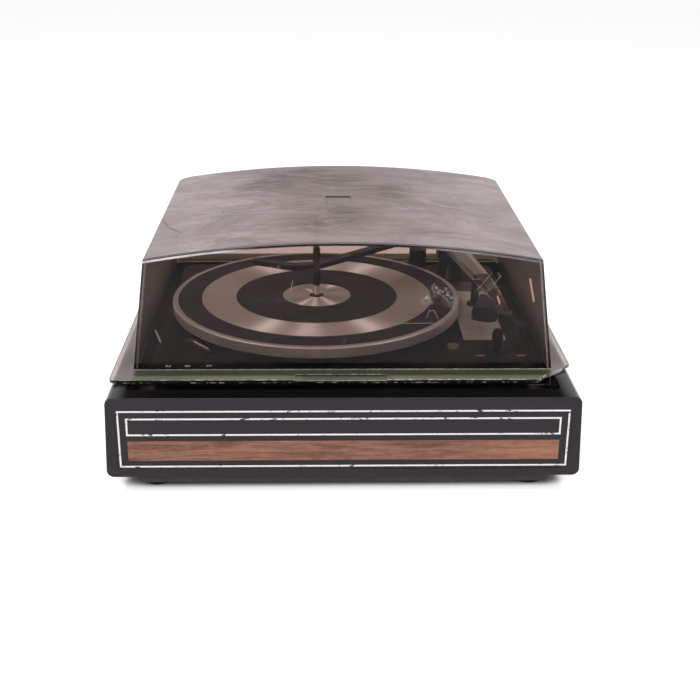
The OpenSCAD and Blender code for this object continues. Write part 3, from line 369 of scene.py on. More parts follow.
# Marks on the cover's top, in mm: lines as x, y of both ends, spots as x, y of their middle
TOP_SCRATCHES = (
    (-110, -7, -84, -1), (-49, 11, -26, 14), (30, 18, 53, 12), (53, 12, 61, 9),
    (97, 6, 113, 3), (102, 15, 113, 15), (70, 80, 69, 53),
)
TOP_HAIRLINES = (
    (-84, -1, -59, 18), (-126, -63, -106, -18), (-25, 10, -13, 17), (11, 21, 30, 18),
    (68, 14, 80, 10), (80, 10, 96, 5), (65, 44, 62, -4), (68, 45, 65, 1),
    (-158, -37, -144, -61), (-64, -46, -47, -44), (-167, -4, -158, -37),
)
# Lines round the badge's place: painted shade along the edges of its recess
BADGE_SHADE_LINES = ((-14, 29, 10, 29), (10, 29, 9, 6), (-14, 29, -14, 6))
TOP_CHIPS = ((-147, -73), (-141, -80), (137, -29), (116, -38), (108, 47))
TOP_SMUDGES = ((-72, 87), (-56, 118), (-6, 94), (-6, -52), (3, -29), (43, 53), (-41, 132), (-22, -61))
TOP_DARKEST = (-18, 55)
CUT_W, TOP_HAIR_W, BADGE_W = 2.6 * MM, 2.0 * MM, 1.8 * MM
CHIP_R, SMUDGE_R, DARKEST_R = 2.4 * MM, 48 * MM, 120 * MM

# Marks on its front wall, in mm: lines as x, z of both ends, spots as x, z of their middle
FRONT_SCRATCHES = (
    (-61, 180, -59, 174), (-59, 174, -54, 181), (-43, 168, -44, 163), (-44, 163, -45, 158),
    (48, 131, 81, 131), (71, 136, 73, 142), (73, 142, 77, 142), (77, 142, 81, 134),
    (125, 174, 111, 157), (133, 172, 120, 155), (125, 169, 134, 156), (130, 175, 133, 171),
    (109, 169, 116, 169),
)
FRONT_HAIRLINES = (
    (111, 166, 129, 150), (117, 162, 123, 156), (120, 164, 131, 152), (122, 168, 133, 155),
    (91, 193, 109, 169), (88, 177, 86, 168), (86, 169, 96, 159), (3, 118, -1, 112),
    (134, 156, 140, 142), (145, 135, 151, 130), (151, 130, 156, 132), (114, 164, 126, 151),
    (119, 158, 127, 166),
)
# A bright line near the front wall's left end: a painted reflection
BRIGHT_REFLECTION_LINES = ((-160, 125, -156, 115),)
WARM_GLINTS = ((158, 169, 162, 150), (131, 154, 133, 148))
FRONT_SMUDGES = ((79, 160), (91, 151), (71, 152), (86, 157))
SCRATCH_W, HAIR_W, BRIGHT_W, GLINT_W = 0.45 * MM, 0.42 * MM, 0.8 * MM, 1.1 * MM
RUB_R = 9 * MM

# Along the flange: the patch in the middle of its front where the painted glow is duller, the broken corner,
# its two ends
PATCH_LEFT, PATCH_RIGHT = -36 * MM, 42 * MM
CORNER_X = LID_HIGH.x - 47.75 * MM
FLANGE_END = WALL_FOOT_X - 4 * MM

# Colours that light takes on in the cover: seen face on; seen at a slant and in the side walls at a slant,
# darker there than the acrylic's tint, as painted shade; along dark marks and painted edge shade; and in the
# shadow that it throws
FACE_TINT = (0.58, 0.488, 0.445)
SLANT_SHADE = (0.1, 0.088, 0.086)
SIDE_SHADE = (0.05, 0.043, 0.041)
MARK_AND_SHADE_TINT = (0.06, 0.06, 0.06)
SHADOW_TINT = (0.77, 0.735, 0.735)


def on_top(x, y):
    """A place on the top as seen from above, from mm."""
    return (x * MM, y * MM, 0)


def on_front(x, z):
    """A place on the front wall as seen from the front, from mm."""
    return (x * MM, 0, z * MM)


class Cover(Paint):
    """Smoked acrylic: brown tint, a wiped and scratched top, a flange with painted reflection and glow, light
    scratches in front, painted shade and highlights along the edges.
    """

    def __init__(self):
        super().__init__("smoked_cover")
        outward = self.outward()
        self.x, self.y, self.height = (self.axis(name) for name in "XYZ")
        sideways, self.forward, self.upright = (self.axis(name, outward) for name in "XYZ")
        self.across = self.calc("ABSOLUTE", self.x)
        self.plan = self.vector("MULTIPLY", self.place, (1, 1, 0))
        self.wall = self.vector("MULTIPLY", self.place, (1, 0, 1))
        self.slant = self.add("LayerWeight", {"Blend": 0.5}).outputs["Facing"]
        self.fine = self.noise(110, 5, 0.7, stretch=(0.1, 1, 1), warp=0.4)

        # How far a place lies behind the front wall, inside the nearer side wall, and under the arch
        lean = self.both(self.calc("SUBTRACT", self.height, FLANGE_TOP), WALL_LEAN)
        self.behind = self.calc("SUBTRACT", self.calc("SUBTRACT", self.y, WALL_FOOT_Y), lean)
        self.inset = self.calc("SUBTRACT", self.calc("SUBTRACT", WALL_FOOT_X, lean), self.across)
        arch = self.vector("DISTANCE", self.wall, (0, 0, LID_HIGH.z - ARCH_R))
        self.drop = self.calc("SUBTRACT", ARCH_R, arch)

        # 1 on one stretch of the cover, 0 on the others
        above = self.ease(self.height, FLANGE_TOP + 0.1 * MM, FLANGE_TOP + 0.6 * MM)
        high = self.ease(self.height, RIM_Z + 50 * MM, RIM_Z + 60 * MM)
        faces_front = self.ease(self.forward, -0.7, -0.9)
        self.walls_and_top = above
        self.top = self.both(self.ease(self.upright, 0.6, 0.9), high)
        self.front = self.both(faces_front, self.ease(self.y, 0, -50 * MM), above)
        self.sides = self.both(self.ease(self.calc("ABSOLUTE", sideways), 0.7, 0.9), above)
        self.flange = self.inverse(above)
        self.fore = self.both(self.flange, self.ease(self.y, WALL_FOOT_Y + 21.5 * MM, WALL_FOOT_Y + 1.5 * MM))
        self.lip = self.both(self.fore, faces_front)
        self.draw_front()
        self.draw_flange()
        self.draw_edges()

    def strokes(self, flat, spread, marks, width):
        """1 on any of several lines, each listed by its two ends."""
        return self.most(*(self.stroke(flat, spread(*m[:2]), spread(*m[2:]), width) for m in marks))

    def spots(self, flat, spread, places, size):
        """1 in the middle of any of several round spots."""
        return self.most(*(self.spot(flat, spread(*at), size) for at in places))

    def milk(self):
        """Colour of the haze on the top: long wipes, dark marbling round the middle, paler ends."""
        wipes = self.noise(15, 6, 0.7, stretch=(0.6, 1, 1), warp=1.6)
        grit = self.noise(420, 4, 0.75, stretch=(0.35, 1, 1))
        marbling = self.noise(44, 8, 0.72, stretch=(0.4, 1, 1), warp=2.4)
        smudges = self.spots(self.plan, on_top, TOP_SMUDGES, SMUDGE_R)
        oval = self.vector("MULTIPLY", self.plan, (1, 0.8, 0))
        darkest = self.spot(oval, on_top(*TOP_DARKEST), DARKEST_R)
        return self.coats(
            tone(170, 153, 154),
            (self.ease(wipes, 0.36, 0.64), tone(130, 115, 115)),
            (self.ease(self.fine, 0.42, 0.72, 0, 0.55), tone(116, 102, 101)),
            (self.ease(grit, 0.55, 0.75, 0, 0.4), tone(96, 88, 90)),
            (self.ease(grit, 0.42, 0.28, 0, 0.3), tone(208, 197, 198)),
            (self.ease(self.across, 15 * MM, 130 * MM, 0.46, 0), tone(112, 93, 89)),
            (self.both(darkest, self.ease(marbling, 0.38, 0.6, 0.1, 0.9), 0.75), tone(92, 74, 70)),
            (self.both(smudges, self.ease(marbling, 0.36, 0.56), 0.85), tone(74, 59, 56)),
            (self.ease(self.across, 80 * MM, 165 * MM, 0, 0.3), tone(184, 168, 169)),
        )

    def dark_marks(self):
        """1 on the top's dark scratches and chips, and on the painted shade round the place of the badge."""
        cuts = self.strokes(self.plan, on_top, TOP_SCRATCHES, CUT_W)
        cuts = self.both(cuts, self.ease(self.noise(220, 4, 0.75), 0.3, 0.6, 0.65, 1))
        faint = self.both(self.strokes(self.plan, on_top, TOP_HAIRLINES, TOP_HAIR_W), 0.6)
        badge = self.strokes(self.plan, on_top, BADGE_SHADE_LINES, BADGE_W)
        chips = self.spots(self.plan, on_top, TOP_CHIPS, CHIP_R)
        return self.both(self.most(cuts, faint, badge, chips), self.top)

    def draw_front(self):
        """Light scratches, a painted bright reflection line, painted glints and rubbed patches on the front
        wall.
        """
        light = self.strokes(self.wall, on_front, FRONT_SCRATCHES, SCRATCH_W)
        faint = self.both(self.strokes(self.wall, on_front, FRONT_HAIRLINES, HAIR_W), 0.6)
        uneven = self.ease(self.noise(260, 3, 0.7), 0.3, 0.6, 0.22, 0.5)
        self.light = self.both(self.most(light, faint), uneven)
        bright = self.both(self.strokes(self.wall, on_front, BRIGHT_REFLECTION_LINES, BRIGHT_W), 0.4)
        self.warm = self.both(self.strokes(self.wall, on_front, WARM_GLINTS, GLINT_W), self.front)
        rubs = self.spots(self.wall, on_front, FRONT_SMUDGES, RUB_R)
        self.rubs = self.both(rubs, self.ease(self.noise(330, 5, 0.8), 0.44, 0.62, 0, 0.5))
        threads = self.noise(420, 2, 0.6, stretch=(0.06, 1, 1), warp=0.3)
        threads = self.ease(threads, 0.68, 0.7, 0, 0.05)
        marks = self.most(self.light, bright, self.both(self.warm, 0.6), self.rubs, threads)
        self.marked = self.both(marks, self.front)

    def draw_flange(self):
        """Flange: a painted greenish reflection along the front, with a painted glow from the wall and from
        its edge, paler at the sides.
        """
        flange_streaks = self.noise(14, 3, 0.5, stretch=(0.6, 2, 1))
        ends = self.ease(self.across, FLANGE_END, FLANGE_END + 8 * MM)
        # Painted glow by the front edge and by the wall's foot, duller on the middle patch and towards the
        # left
        by_edge = self.ease(self.y, LID_LOW.y + 11 * MM, LID_LOW.y + 6 * MM)
        by_edge = self.both(by_edge, self.ease(flange_streaks, 0.35, 0.65, 0.6, 1))
        by_wall = self.both(self.ease(self.y, WALL_FOOT_Y - 2.4 * MM, WALL_FOOT_Y - 1.2 * MM), 0.9)
        patch = self.band(self.x, PATCH_LEFT, PATCH_LEFT + 1 * MM, PATCH_RIGHT - 1 * MM, PATCH_RIGHT)
        lit = self.both(self.most(by_wall, by_edge), self.ease(patch, 0, 1, 1, 0.7))
        lit = self.both(lit, self.ease(self.x, -150 * MM, 60 * MM, 0.75, 1))
        strip = self.level(ends, 0.85, self.ease(flange_streaks, 0.35, 0.65, 0.35, 0.5))
        self.strip = self.both(self.flange, self.both(strip, self.ease(self.upright, 0.5, 0.8)))
        # The strip's colour is painted reflection, with the painted glow and the paler ends laid over it
        green = self.mix(flange_streaks, tone(44, 47, 41), tone(66, 69, 58))
        self.strip_reflection = self.coats(green, (lit, tone(124, 129, 101)), (ends, tone(164, 154, 155)))

    def draw_edges(self):
        """Edges: painted shade where the walls meet, with a painted white highlight line beside them and
        along the flange.
        """
        thin = self.edge(1.1 * MM)
        steady = self.ease(self.noise(60, 4, 0.7, stretch=(0.5, 1, 1)), 0.3, 0.6, 0.55, 1)
        sparkle = self.ease(self.noise(230, 4, 0.8, stretch=(0.8, 1, 1)), 0.42, 0.6, 0.25, 1)
        dots = self.ease(self.noise(420, 3, 0.7, stretch=(0.5, 1, 1)), 0.5, 0.62, 0, 0.6)
        worn = self.ease(self.noise(140, 5, 0.75), 0.36, 0.62, 0.15, 1)
        # The brow: a painted dark band along the top's front edge, with a painted highlight line in it
        self.brow = self.both(self.top, self.ease(self.behind, 5.0 * MM, 3.6 * MM))
        self.brow_highlight = self.both(worn, self.ease(self.behind, 1.8 * MM, 0.8 * MM))

        # Painted highlight lines under the arch, beside the corners, and along the flange's upper and lower
        # front edge
        left = self.ease(self.x, -70 * MM, -110 * MM, 0, 0.95)
        right = self.ease(self.x, 60 * MM, 90 * MM, 0, 0.3)
        rubbed = self.band(self.drop, 0.6 * MM, 1.0 * MM, 2.2 * MM, 3.0 * MM)
        rubbed = self.both(self.front, rubbed, self.most(left, right))
        post = self.both(self.front, self.band(self.inset, 1.9 * MM, 2.3 * MM, 3.1 * MM, 3.8 * MM))
        self.post = self.both(post, self.ease(self.x, -100 * MM, 100 * MM, 0.14, 0.36))
        highest = self.ease(self.height, FLANGE_TOP - 0.8 * MM, FLANGE_TOP - 0.5 * MM)
        foremost = self.ease(self.y, LID_LOW.y + 1.0 * MM, LID_LOW.y + 0.6 * MM)
        on_flat = self.both(self.fore, self.ease(self.upright, 0.5, 0.8), foremost)
        ridge = self.both(self.most(self.both(self.lip, highest), on_flat), sparkle)
        ridge = self.both(ridge, self.ease(self.x, -80 * MM, 30 * MM, 0.7, 1))
        foot = self.band(self.height, RIM_Z - 0.3 * MM, RIM_Z, RIM_Z + 0.6 * MM, RIM_Z + 0.9 * MM)
        foot = self.both(self.lip, foot, dots)

        # The broken corner: its face, and the edges near it, white, partly the acrylic's own whitening and
        # partly painted highlight
        steep = self.ease(self.upright, 0.5, 0.3)
        aslant = self.band(self.forward, -0.95, -0.85, -0.25, -0.1)
        broken = self.both(self.fore, steep, aslant, self.ease(self.x, CORNER_X, CORNER_X + 10 * MM))
        crack = self.both(thin, self.fore, self.ease(self.x, CORNER_X + 8 * MM, CORNER_X + 16 * MM, 0, 0.7))
        corner = self.both(self.most(crack, broken), worn)
        self.highlights_and_crack_whitening = self.most(self.both(self.most(rubbed, self.post), steady), ridge, foot, corner)

        # Painted shade: under the arch, at the ends of the front wall, along the seams and on the flange's
        # front face
        under = self.both(self.front, self.ease(self.drop, 1.5 * MM, 0.9 * MM))
        ends = self.both(self.front, self.ease(self.inset, 1.7 * MM, 1.3 * MM))
        seams = self.both(thin, self.walls_and_top, 0.75)
        self.gloom = self.most(seams, self.both(self.lip, 0.95), self.both(under, 0.85), ends)

    def layer_colour(self):
        """Colour of all that lies on the acrylic: haze, scuffs and light scratches, with painted reflection
        on the flange, painted shade on its front face and along the top's front edge, and painted highlight
        lines.
        """
        # Painted shade along the top's front edge, with a painted highlight line in it
        brow = self.mix(self.brow_highlight, tone(64, 69, 72), tone(118, 120, 120))
        return self.coats(
            tone(192, 192, 202),
            # Painted reflection on the flange
            (self.flange, self.strip_reflection),
            # Painted shade: the flange's front face near-black
            (self.lip, tone(15, 15, 16)),
            (self.top, self.milk()),
            (self.brow, brow),
            # Painted highlight lines along the edges, with the front's light scratches
            (self.most(self.highlights_and_crack_whitening, self.both(self.marked, 0.8)), tone(222, 214, 210)),
            (self.both(self.ease(self.light, 0.02, 0.12), self.front), tone(188, 160, 142)),
            (self.ease(self.post, 0.02, 0.12), tone(200, 176, 168)),
            (self.both(self.ease(self.rubs, 0.02, 0.1), self.front), tone(216, 200, 198)),
            (self.warm, tone(226, 172, 136)),
        )

    def smoked(self):
        """The whole material: tinted acrylic, darkened as painted shade at a slant and along edges, under a
        thin layer of haze, wear and painted light.
        """
        dark = self.dark_marks()
        film = self.ease(self.noise(26, 6, 0.75, warp=1.2), 0.5, 0.85, 0.002, 0.014)
        haze = self.ease(self.slant, 0.1, 0.6, 0.28, 0.86)
        share = self.most(
            self.level(self.top, film, haze), self.marked, self.strip, self.highlights_and_crack_whitening,
            self.both(self.brow, 0.9), self.both(self.lip, 0.95),
        )
        share = self.both(share, self.inverse(dark))
        layer = self.shader(self.layer_colour(), 0.5, Specular_IOR_Level=0.2)
        # Painted shade: the tint darkened at a slant, more on the side walls
        shaded_at_slant = self.mix(self.sides, SLANT_SHADE, SIDE_SHADE)
        tint_and_shade = self.mix(self.ease(self.slant, 0.5, 0.84), FACE_TINT, shaded_at_slant)
        # Darker again on dark marks and along the painted edge shade
        tint = self.mix(self.most(self.both(dark, 0.9), self.gloom), tint_and_shade, MARK_AND_SHADE_TINT)
        gloss = self.most(self.ease(self.fine, 0.4, 0.8, 0.01, 0.06), self.both(self.sides, 0.29))
        glass = self.shader(tint, gloss, Transmission_Weight=1.0, IOR=1.18)
        clear = self.add("BsdfTransparent", {0: SHADOW_TINT}).outputs[0]
        path = self.add("LightPath").outputs
        seen = self.blend(share, glass, layer)
        seen = self.blend(path["Is Diffuse Ray"], seen, clear)
        return self.done(self.blend(path["Is Shadow Ray"], seen, clear))


# Where the looks of small pieces change: the spindle's bright foot, the trim plate's end, dark as painted
# shade, the speed lever's ridge, pale as a painted highlight, and on the tonearm its sleeve, counted from the
# pivot, its strip painted as a highlight and the sleeve's ribs, painted as light and dark stripes
SPINDLE_FOOT = top_of("centre_disc") + 11 * MM
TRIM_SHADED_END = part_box("deck_trim")[1][1] - 30 * MM
LEVER_RIDGE = top_of("speed_lever") - 0.5 * MM
ARM_SIDE, ARM_AHEAD = (0.989, 0.149, 0), (0.149, -0.989, 0)
ARM_SLEEVE = 116 * MM
ARM_LIT_STRIP = 2.6 * MM
ARM_RIB = 1.5 * MM


def spindle_chrome():
    """Changer spindle: chrome darkened as a painted reflection of dark surroundings, bright at its foot."""
    p = Paint("dark_chrome")
    lines = p.noise(700, 3, 0.6, stretch=(1, 1, 0.05))
    foot = p.ease(p.axis("Z"), SPINDLE_FOOT + 0.6 * MM, SPINDLE_FOOT)
    shank = p.mix(p.ease(lines, 0.35, 0.7), tone(104, 100, 104), tone(78, 75, 79))
    bright = p.mix(p.ease(lines, 0.4, 0.6), tone(246, 238, 224), tone(196, 186, 172))
    normal = p.bump(lines, 0.01 * MM, p.rounded(0.3 * MM))
    gloss = p.ease(lines, 0.3, 0.7, 0.08, 0.18)
    return p.done(p.shader(p.mix(foot, shank, bright), gloss, normal, Metallic=1.0))


def trim_finish():
    """Trim plate beside the tonearm: brushed silver, dark at its rear end as painted shade where the arm's
    shadow falls.
    """
    p = Paint("trim_silver")
    grain = p.noise(1400, 3, 0.6, stretch=(1, 0.05, 1))
    stain = p.ease(p.noise(45, 4, 0.65, warp=0.8), 0.45, 0.8, 0, 0.35)
    brushed = p.ease(grain, 0.35, 0.7, 0, 0.4)
    silver = p.coats(tone(206, 200, 197), (brushed, tone(176, 170, 168)), (stain, tone(140, 134, 132)))
    # Painted shade: dark paint at the rear end, under the arm
    painted = p.mix(p.ease(grain, 0.3, 0.7), tone(24, 23, 25), tone(36, 34, 36))
    black = p.ease(p.axis("Y"), TRIM_SHADED_END - 1 * MM, TRIM_SHADED_END)
    gloss = p.ease(grain, 0.3, 0.7, 0.4, 0.52)
    normal = p.bump(grain, 0.012 * MM, p.rounded(0.3 * MM))
    metallic = p.calc("MULTIPLY_ADD", black, -0.5, 0.5)
    return p.done(p.shader(p.mix(black, silver, painted), gloss, normal, Metallic=metallic))


def arm_finish():
    """Tonearm bar: grey lacquer, a pale strip along its outer edge painted as its highlight, a black sleeve
    at the head with its ribs painted as light and dark stripes.
    """
    p = Paint("arm_lacquer")
    away = p.vector("SUBTRACT", p.place, tuple(middle("arm_pivot_pin")))
    across = p.vector("DOT_PRODUCT", away, ARM_SIDE)
    along = p.vector("DOT_PRODUCT", away, ARM_AHEAD)
    grain = p.noise(900, 3, 0.6, stretch=(1, 0.06, 1))
    lacquer = p.mix(p.ease(p.noise(40, 4, 0.65), 0.3, 0.7), tone(130, 123, 123), tone(150, 142, 142))
    aluminium = p.mix(p.ease(grain, 0.3, 0.7), tone(206, 194, 182), tone(180, 168, 158))
    ribs = p.ease(p.calc("SINE", p.both(across, 2 * math.pi / ARM_RIB)), 0.2, 0.9)
    body = p.coats(
        lacquer,
        # Painted highlight: the pale strip along the outer edge
        (p.ease(across, ARM_LIT_STRIP, ARM_LIT_STRIP + 0.6 * MM), aluminium),
        (p.both(p.edge(0.5 * MM), 0.6), tone(190, 180, 170)),
        # Painted light and shade of the sleeve's ribs, as stripes
        (p.ease(along, ARM_SLEEVE, ARM_SLEEVE + 1 * MM), p.mix(ribs, tone(30, 29, 32), tone(70, 66, 66))),
    )
    normal = p.bump(grain, 0.004 * MM, p.rounded(0.4 * MM))
    return p.done(p.shader(body, 0.42, normal, Specular_IOR_Level=0.4))


def lever_finish():
    """Speed lever: black moulding with a pale ivory ridge on top, which is a painted highlight."""
    p = Paint("lever_ivory")
    # Painted highlight along the lever's top
    ridge = p.ease(p.axis("Z"), LEVER_RIDGE - 0.08 * MM, LEVER_RIDGE)
    black = p.mix(p.ease(p.noise(200, 3), 0.3, 0.7), tone(34, 32, 33), tone(48, 45, 46))
    ivory = p.mix(p.ease(p.noise(300, 3, 0.6), 0.3, 0.7), tone(226, 218, 200), tone(198, 188, 168))
    normal = p.bump(p.noise(1500, 2), 0.006 * MM, p.rounded(0.4 * MM))
    return p.done(p.shader(p.mix(ridge, black, ivory), 0.4, normal, Specular_IOR_Level=0.4))


def lettering(name, colour, faded):
    """Printing ink, worn through in small specks."""
    p = Paint(name)
    worn = p.ease(p.noise(1500, 3, 0.7), 0.5, 0.68, 0, 0.4)
    return p.done(p.shader(p.mix(worn, colour, faded), 0.5))


# Each finish with the nodes that have it
WORN = tone(84, 80, 82)
SLICK = 0.001 * MM
ALONG_ARM = (1, 0.06, 1)
FINISHES = (
    (plinth_plastic(), "plinth"),
    (foil(), "outer_pinstripe", "inner_pinstripe"),
    (walnut(), "walnut_strip"),
    (Cover().smoked(), "lid"),
    (moulded("pan_board", tone(48, 45, 46), tone(90, 86, 84), roughness=0.7, grain=0.12 * MM), "bottom_pan"),
    (metal("screw_steel", tone(170, 170, 174), roughness=0.36), "pan_screws", "foot_screws"),
    (
        rubber("foot_rubber", tone(14, 13, 14), tone(36, 34, 34)),
        "foot_front_left", "foot_front_right", "foot_back_left", "foot_back_right",
        "mains_grommet", "signal_grommet", "motor_mounts", "idler_tyre",
    ),
    (
        moulded(
            "deck_paint", tone(9, 8, 10), tone(34, 32, 35), roughness=0.46,
            grain=SLICK, wear=0.4, specular=0.1,
        ),
        "deck_plate",
    ),
    (metal("brass_screw", tone(150, 136, 104), roughness=0.4), "transit_screws"),
    (trim_finish(), "deck_trim"),
    (
        metal("bright_steel", tone(186, 186, 190), roughness=0.26),
        "thrust_race", "rotor", "idler_stud", "idler_arm", "gear_stud", "arm_pivot_pin", "motor_bolts",
        "motor_upper_bracket", "motor_lower_bracket", "stylus", "control_lever",
    ),
    (metal("chrome", tone(222, 220, 216), roughness=0.12, tarnish=0.12), "overarm_shaft"),
    (spindle_chrome(), "spindle"),
    (metal("black_steel", tone(26, 25, 26), roughness=0.45, metallic=0.4), "centre_post", "circlip"),
    (
        metal(
            "platter_steel", tone(196, 190, 190), roughness=0.4,
            brush=(1, 1, 0.05), brush_scale=500, tarnish=0.2, metallic=0.7,
        ),
        "platter",
    ),
    (rubber("mat_rubber", tone(34, 32, 34), tone(58, 55, 57), ribs=1.6 * MM), "outer_mat", "inner_mat"),
    (spun("spun_silver", tone(226, 223, 220)), "silver_ring", "centre_disc"),
    (
        moulded("nylon", tone(206, 200, 186), tone(230, 226, 218), roughness=0.5, grain=0.02 * MM),
        "hub_pinion", "change_gear", "idler_hub",
    ),
    (
        metal("lamination", tone(120, 118, 122), roughness=0.42, brush=(1, 1, 14), brush_scale=700),
        "motor_laminations",
    ),
    (moulded("coil_tape", tone(150, 112, 60), tone(186, 150, 96), roughness=0.4), "motor_coil"),
    (metal("bronze", tone(168, 128, 76), roughness=0.32), "motor_bushes", "motor_pulley"),
    (
        metal("arm_aluminium", tone(150, 142, 136), roughness=0.38, brush=ALONG_ARM, brush_scale=1100),
        "counterweight",
    ),
    (
        metal(
            "dull_lift", tone(78, 73, 72), roughness=0.4,
            brush=ALONG_ARM, brush_scale=1100, tarnish=0.1, metallic=0.4,
        ),
        "finger_lift",
    ),
    (arm_finish(), "arm_bar"),
    (lever_finish(), "speed_lever"),
    (
        moulded("black_gloss", tone(24, 23, 27), WORN, roughness=0.36, grain=SLICK, wear=0.4, specular=0.35),
        "headshell", "cartridge",
    ),
    (
        moulded(
            "knob_gloss", tone(8, 8, 10), tone(30, 29, 31), roughness=0.34,
            grain=SLICK, wear=0.4, specular=0.1,
        ),
        "control_knob",
    ),
    (
        moulded("arm_black", tone(32, 30, 32), WORN, roughness=0.42, grain=0.0015 * MM),
        "arm_pedestal", "arm_yoke", "arm_rest", "overarm_bush", "overarm",
    ),
    (
        moulded("ivory_plastic", tone(206, 198, 176), tone(226, 222, 210), roughness=0.4, grain=0.02 * MM),
        "power_switch",
    ),
    (metal("spring_steel", tone(188, 188, 192), roughness=0.24), "deck_springs"),
)
for finish, *named in FINISHES:
    for name in named:
        mesh = nodes[name].data
        mesh.materials.clear()
        mesh.materials.append(finish)


def piece(name, mesh, body, material):
    """Puts a made mesh into the scene as one named piece of the object."""
    obj = bpy.data.objects.new(name, mesh)
    bpy.context.scene.collection.objects.link(obj)
    mesh.materials.clear()
    mesh.materials.append(bpy.data.materials[material])
    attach(obj, body)
    return obj


# Deck springs: open coils of round wire
SPRING_WIRE = 1.4 * MM
SPRING_R = 6 * MM
SPRING_TURNS = 5
WIRE_SIDES = 12
CURL_STEPS = 36


def coil(bm, x, y, low, high):
    """Adds one upright coil of wire, from its lowest to its highest point, round x and y."""
    half = SPRING_WIRE / 2
    steps = SPRING_TURNS * CURL_STEPS
    rings = []
    for step in range(steps + 1):
        turn = 2 * math.pi * step / CURL_STEPS
        z = low + half + (high - low - SPRING_WIRE) * (step / steps)
        ring = []
        for side in range(WIRE_SIDES):
            angle = 2 * math.pi * side / WIRE_SIDES
            reach = SPRING_R + half * math.cos(angle)
            at = (x + reach * math.cos(turn), y + reach * math.sin(turn), z + half * math.sin(angle))
            ring.append(bm.verts.new(at))
        rings.append(ring)
    for one, two in zip(rings, rings[1:]):
        for k in range(WIRE_SIDES):
            n = (k + 1) % WIRE_SIDES
            bm.faces.new((one[k], two[k], two[n], one[n])).smooth = True
    bm.faces.new(rings[0])
    bm.faces.new(reversed(rings[-1]))


def deck_springs():
    """One piece with the four springs, in place of their solids."""
    low, high = (Vector(corner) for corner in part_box("deck_springs"))
    inset = SPRING_R + SPRING_WIRE / 2
    bm = bmesh.new()
    for x in (low.x + inset, high.x - inset):
        for y in (low.y + inset, high.y - inset):
            coil(bm, x, y, low.z, high.z)
    mesh = bpy.data.meshes.new("deck_spring_coils")
    bmesh.ops.recalc_face_normals(bm, faces=bm.faces)
    bm.to_mesh(mesh)
    bm.free()
    coils = piece("deck_spring_coils", mesh, "base", "spring_steel")
    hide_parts("deck_springs")


deck_springs()

# Words printed on the deck: speeds along its front edge, switch words beside the knob
WORD_Z = DECK_Z + 0.02 * MM
INK_T = 0.015 * MM
INK_SPREAD = 0.12 * MM
FONT_PER_CAPITAL = 1.4
DECK_LOW = Vector(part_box("deck_plate")[0])
KNOB = middle("control_knob")
SPEED_Y, SPEED_CAPITAL = DECK_LOW.y + 5.7 * MM, 3.6 * MM
SWITCH_Y, SWITCH_CAPITAL = KNOB.y - 8.4 * MM, 3.4 * MM
WHITE_PRINT, RED_PRINT = "white_print", "red_print"
WORDS = (
    ("33", DECK_LOW.x + 15.5 * MM, SPEED_Y, SPEED_CAPITAL, WHITE_PRINT),
    ("45", DECK_LOW.x + 32.2 * MM, SPEED_Y, SPEED_CAPITAL, WHITE_PRINT),
    ("78", DECK_LOW.x + 51.0 * MM, SPEED_Y, SPEED_CAPITAL, WHITE_PRINT),
    ("OFF", KNOB.x - 16.3 * MM, SWITCH_Y, SWITCH_CAPITAL, RED_PRINT),
    ("ON", KNOB.x + 20.6 * MM, SWITCH_Y, SWITCH_CAPITAL, RED_PRINT),
)
lettering(WHITE_PRINT, tone(246, 242, 234), tone(150, 146, 140))
lettering(RED_PRINT, tone(206, 160, 134), tone(132, 100, 86))
for word, x, y, capital, print_name in WORDS:
    curve = bpy.data.curves.new("word_" + word, "FONT")
    curve.body = word
    curve.size = capital * FONT_PER_CAPITAL
    curve.align_x = "CENTER"
    curve.align_y = "CENTER"
    curve.extrude = INK_T
    curve.offset = INK_SPREAD
    text = bpy.data.objects.new("drawn_" + word, curve)
    bpy.context.scene.collection.objects.link(text)
    bpy.context.view_layer.update()
    mesh = bpy.data.meshes.new_from_object(text.evaluated_get(bpy.context.evaluated_depsgraph_get()))
    mesh.transform(Matrix.Translation((x, y, WORD_Z)))
    bpy.data.objects.remove(text)
    piece("word_" + word, mesh, "base", print_name)


# Camera fitted to the photograph
CAMERA_AT = (-20.653 * MM, -1046.949 * MM, 476.794 * MM)
PITCH, YAW, ROLL = (math.radians(a) for a in (22.130, 1.656, 0.503))
LENS, SENSOR = 58.738, 36
NEAR, FAR = 0.05, 60


def camera():
    """The scene's camera, turned from its pitch down, its yaw to the right and its roll."""
    ahead = Vector((math.sin(YAW) * math.cos(PITCH), math.cos(YAW) * math.cos(PITCH), -math.sin(PITCH)))
    right = Vector((math.cos(YAW), -math.sin(YAW), 0))
    up = right.cross(ahead)
    side = math.cos(ROLL) * right + math.sin(ROLL) * up
    head = -math.sin(ROLL) * right + math.cos(ROLL) * up
    data = bpy.data.cameras.new("camera")
    data.lens, data.sensor_width = LENS, SENSOR
    data.clip_start, data.clip_end = NEAR, FAR
    obj = bpy.data.objects.new("camera", data)
    turn = Matrix((side, head, -ahead)).transposed()
    obj.matrix_world = Matrix.Translation(CAMERA_AT) @ turn.to_4x4()
    bpy.context.scene.collection.objects.link(obj)
    bpy.context.scene.camera = obj


camera()

# White studio: backdrop, floor, two small softboxes above the sides and a large one in front
AMBIENT = 0.45
FLOOR_GLOW = 0.52
FLOOR_SIZE = 12
SHADE_INSET = 24 * MM
SHADE_FROM, SHADE_TO = 6 * MM, 20 * MM
SOFTBOXES = (
    ("left_box", (-1.05, -0.25, 1.45), 0.34, 9),
    ("right_box", (1.05, -0.25, 1.45), 0.34, 9),
    ("front_box", (-0.4, -1.9, 1.7), 0.8, 22),
)


def seen_directly(steps):
    """1 for rays that show the backdrop: straight from the camera, mirrored, or through the cover."""
    path = steps.add("LightPath").outputs
    share = steps.most(path["Is Camera Ray"], path["Is Glossy Ray"], path["Is Transmission Ray"])
    return steps.both(share, steps.calc("LESS_THAN", path["Diffuse Depth"], 0.5))


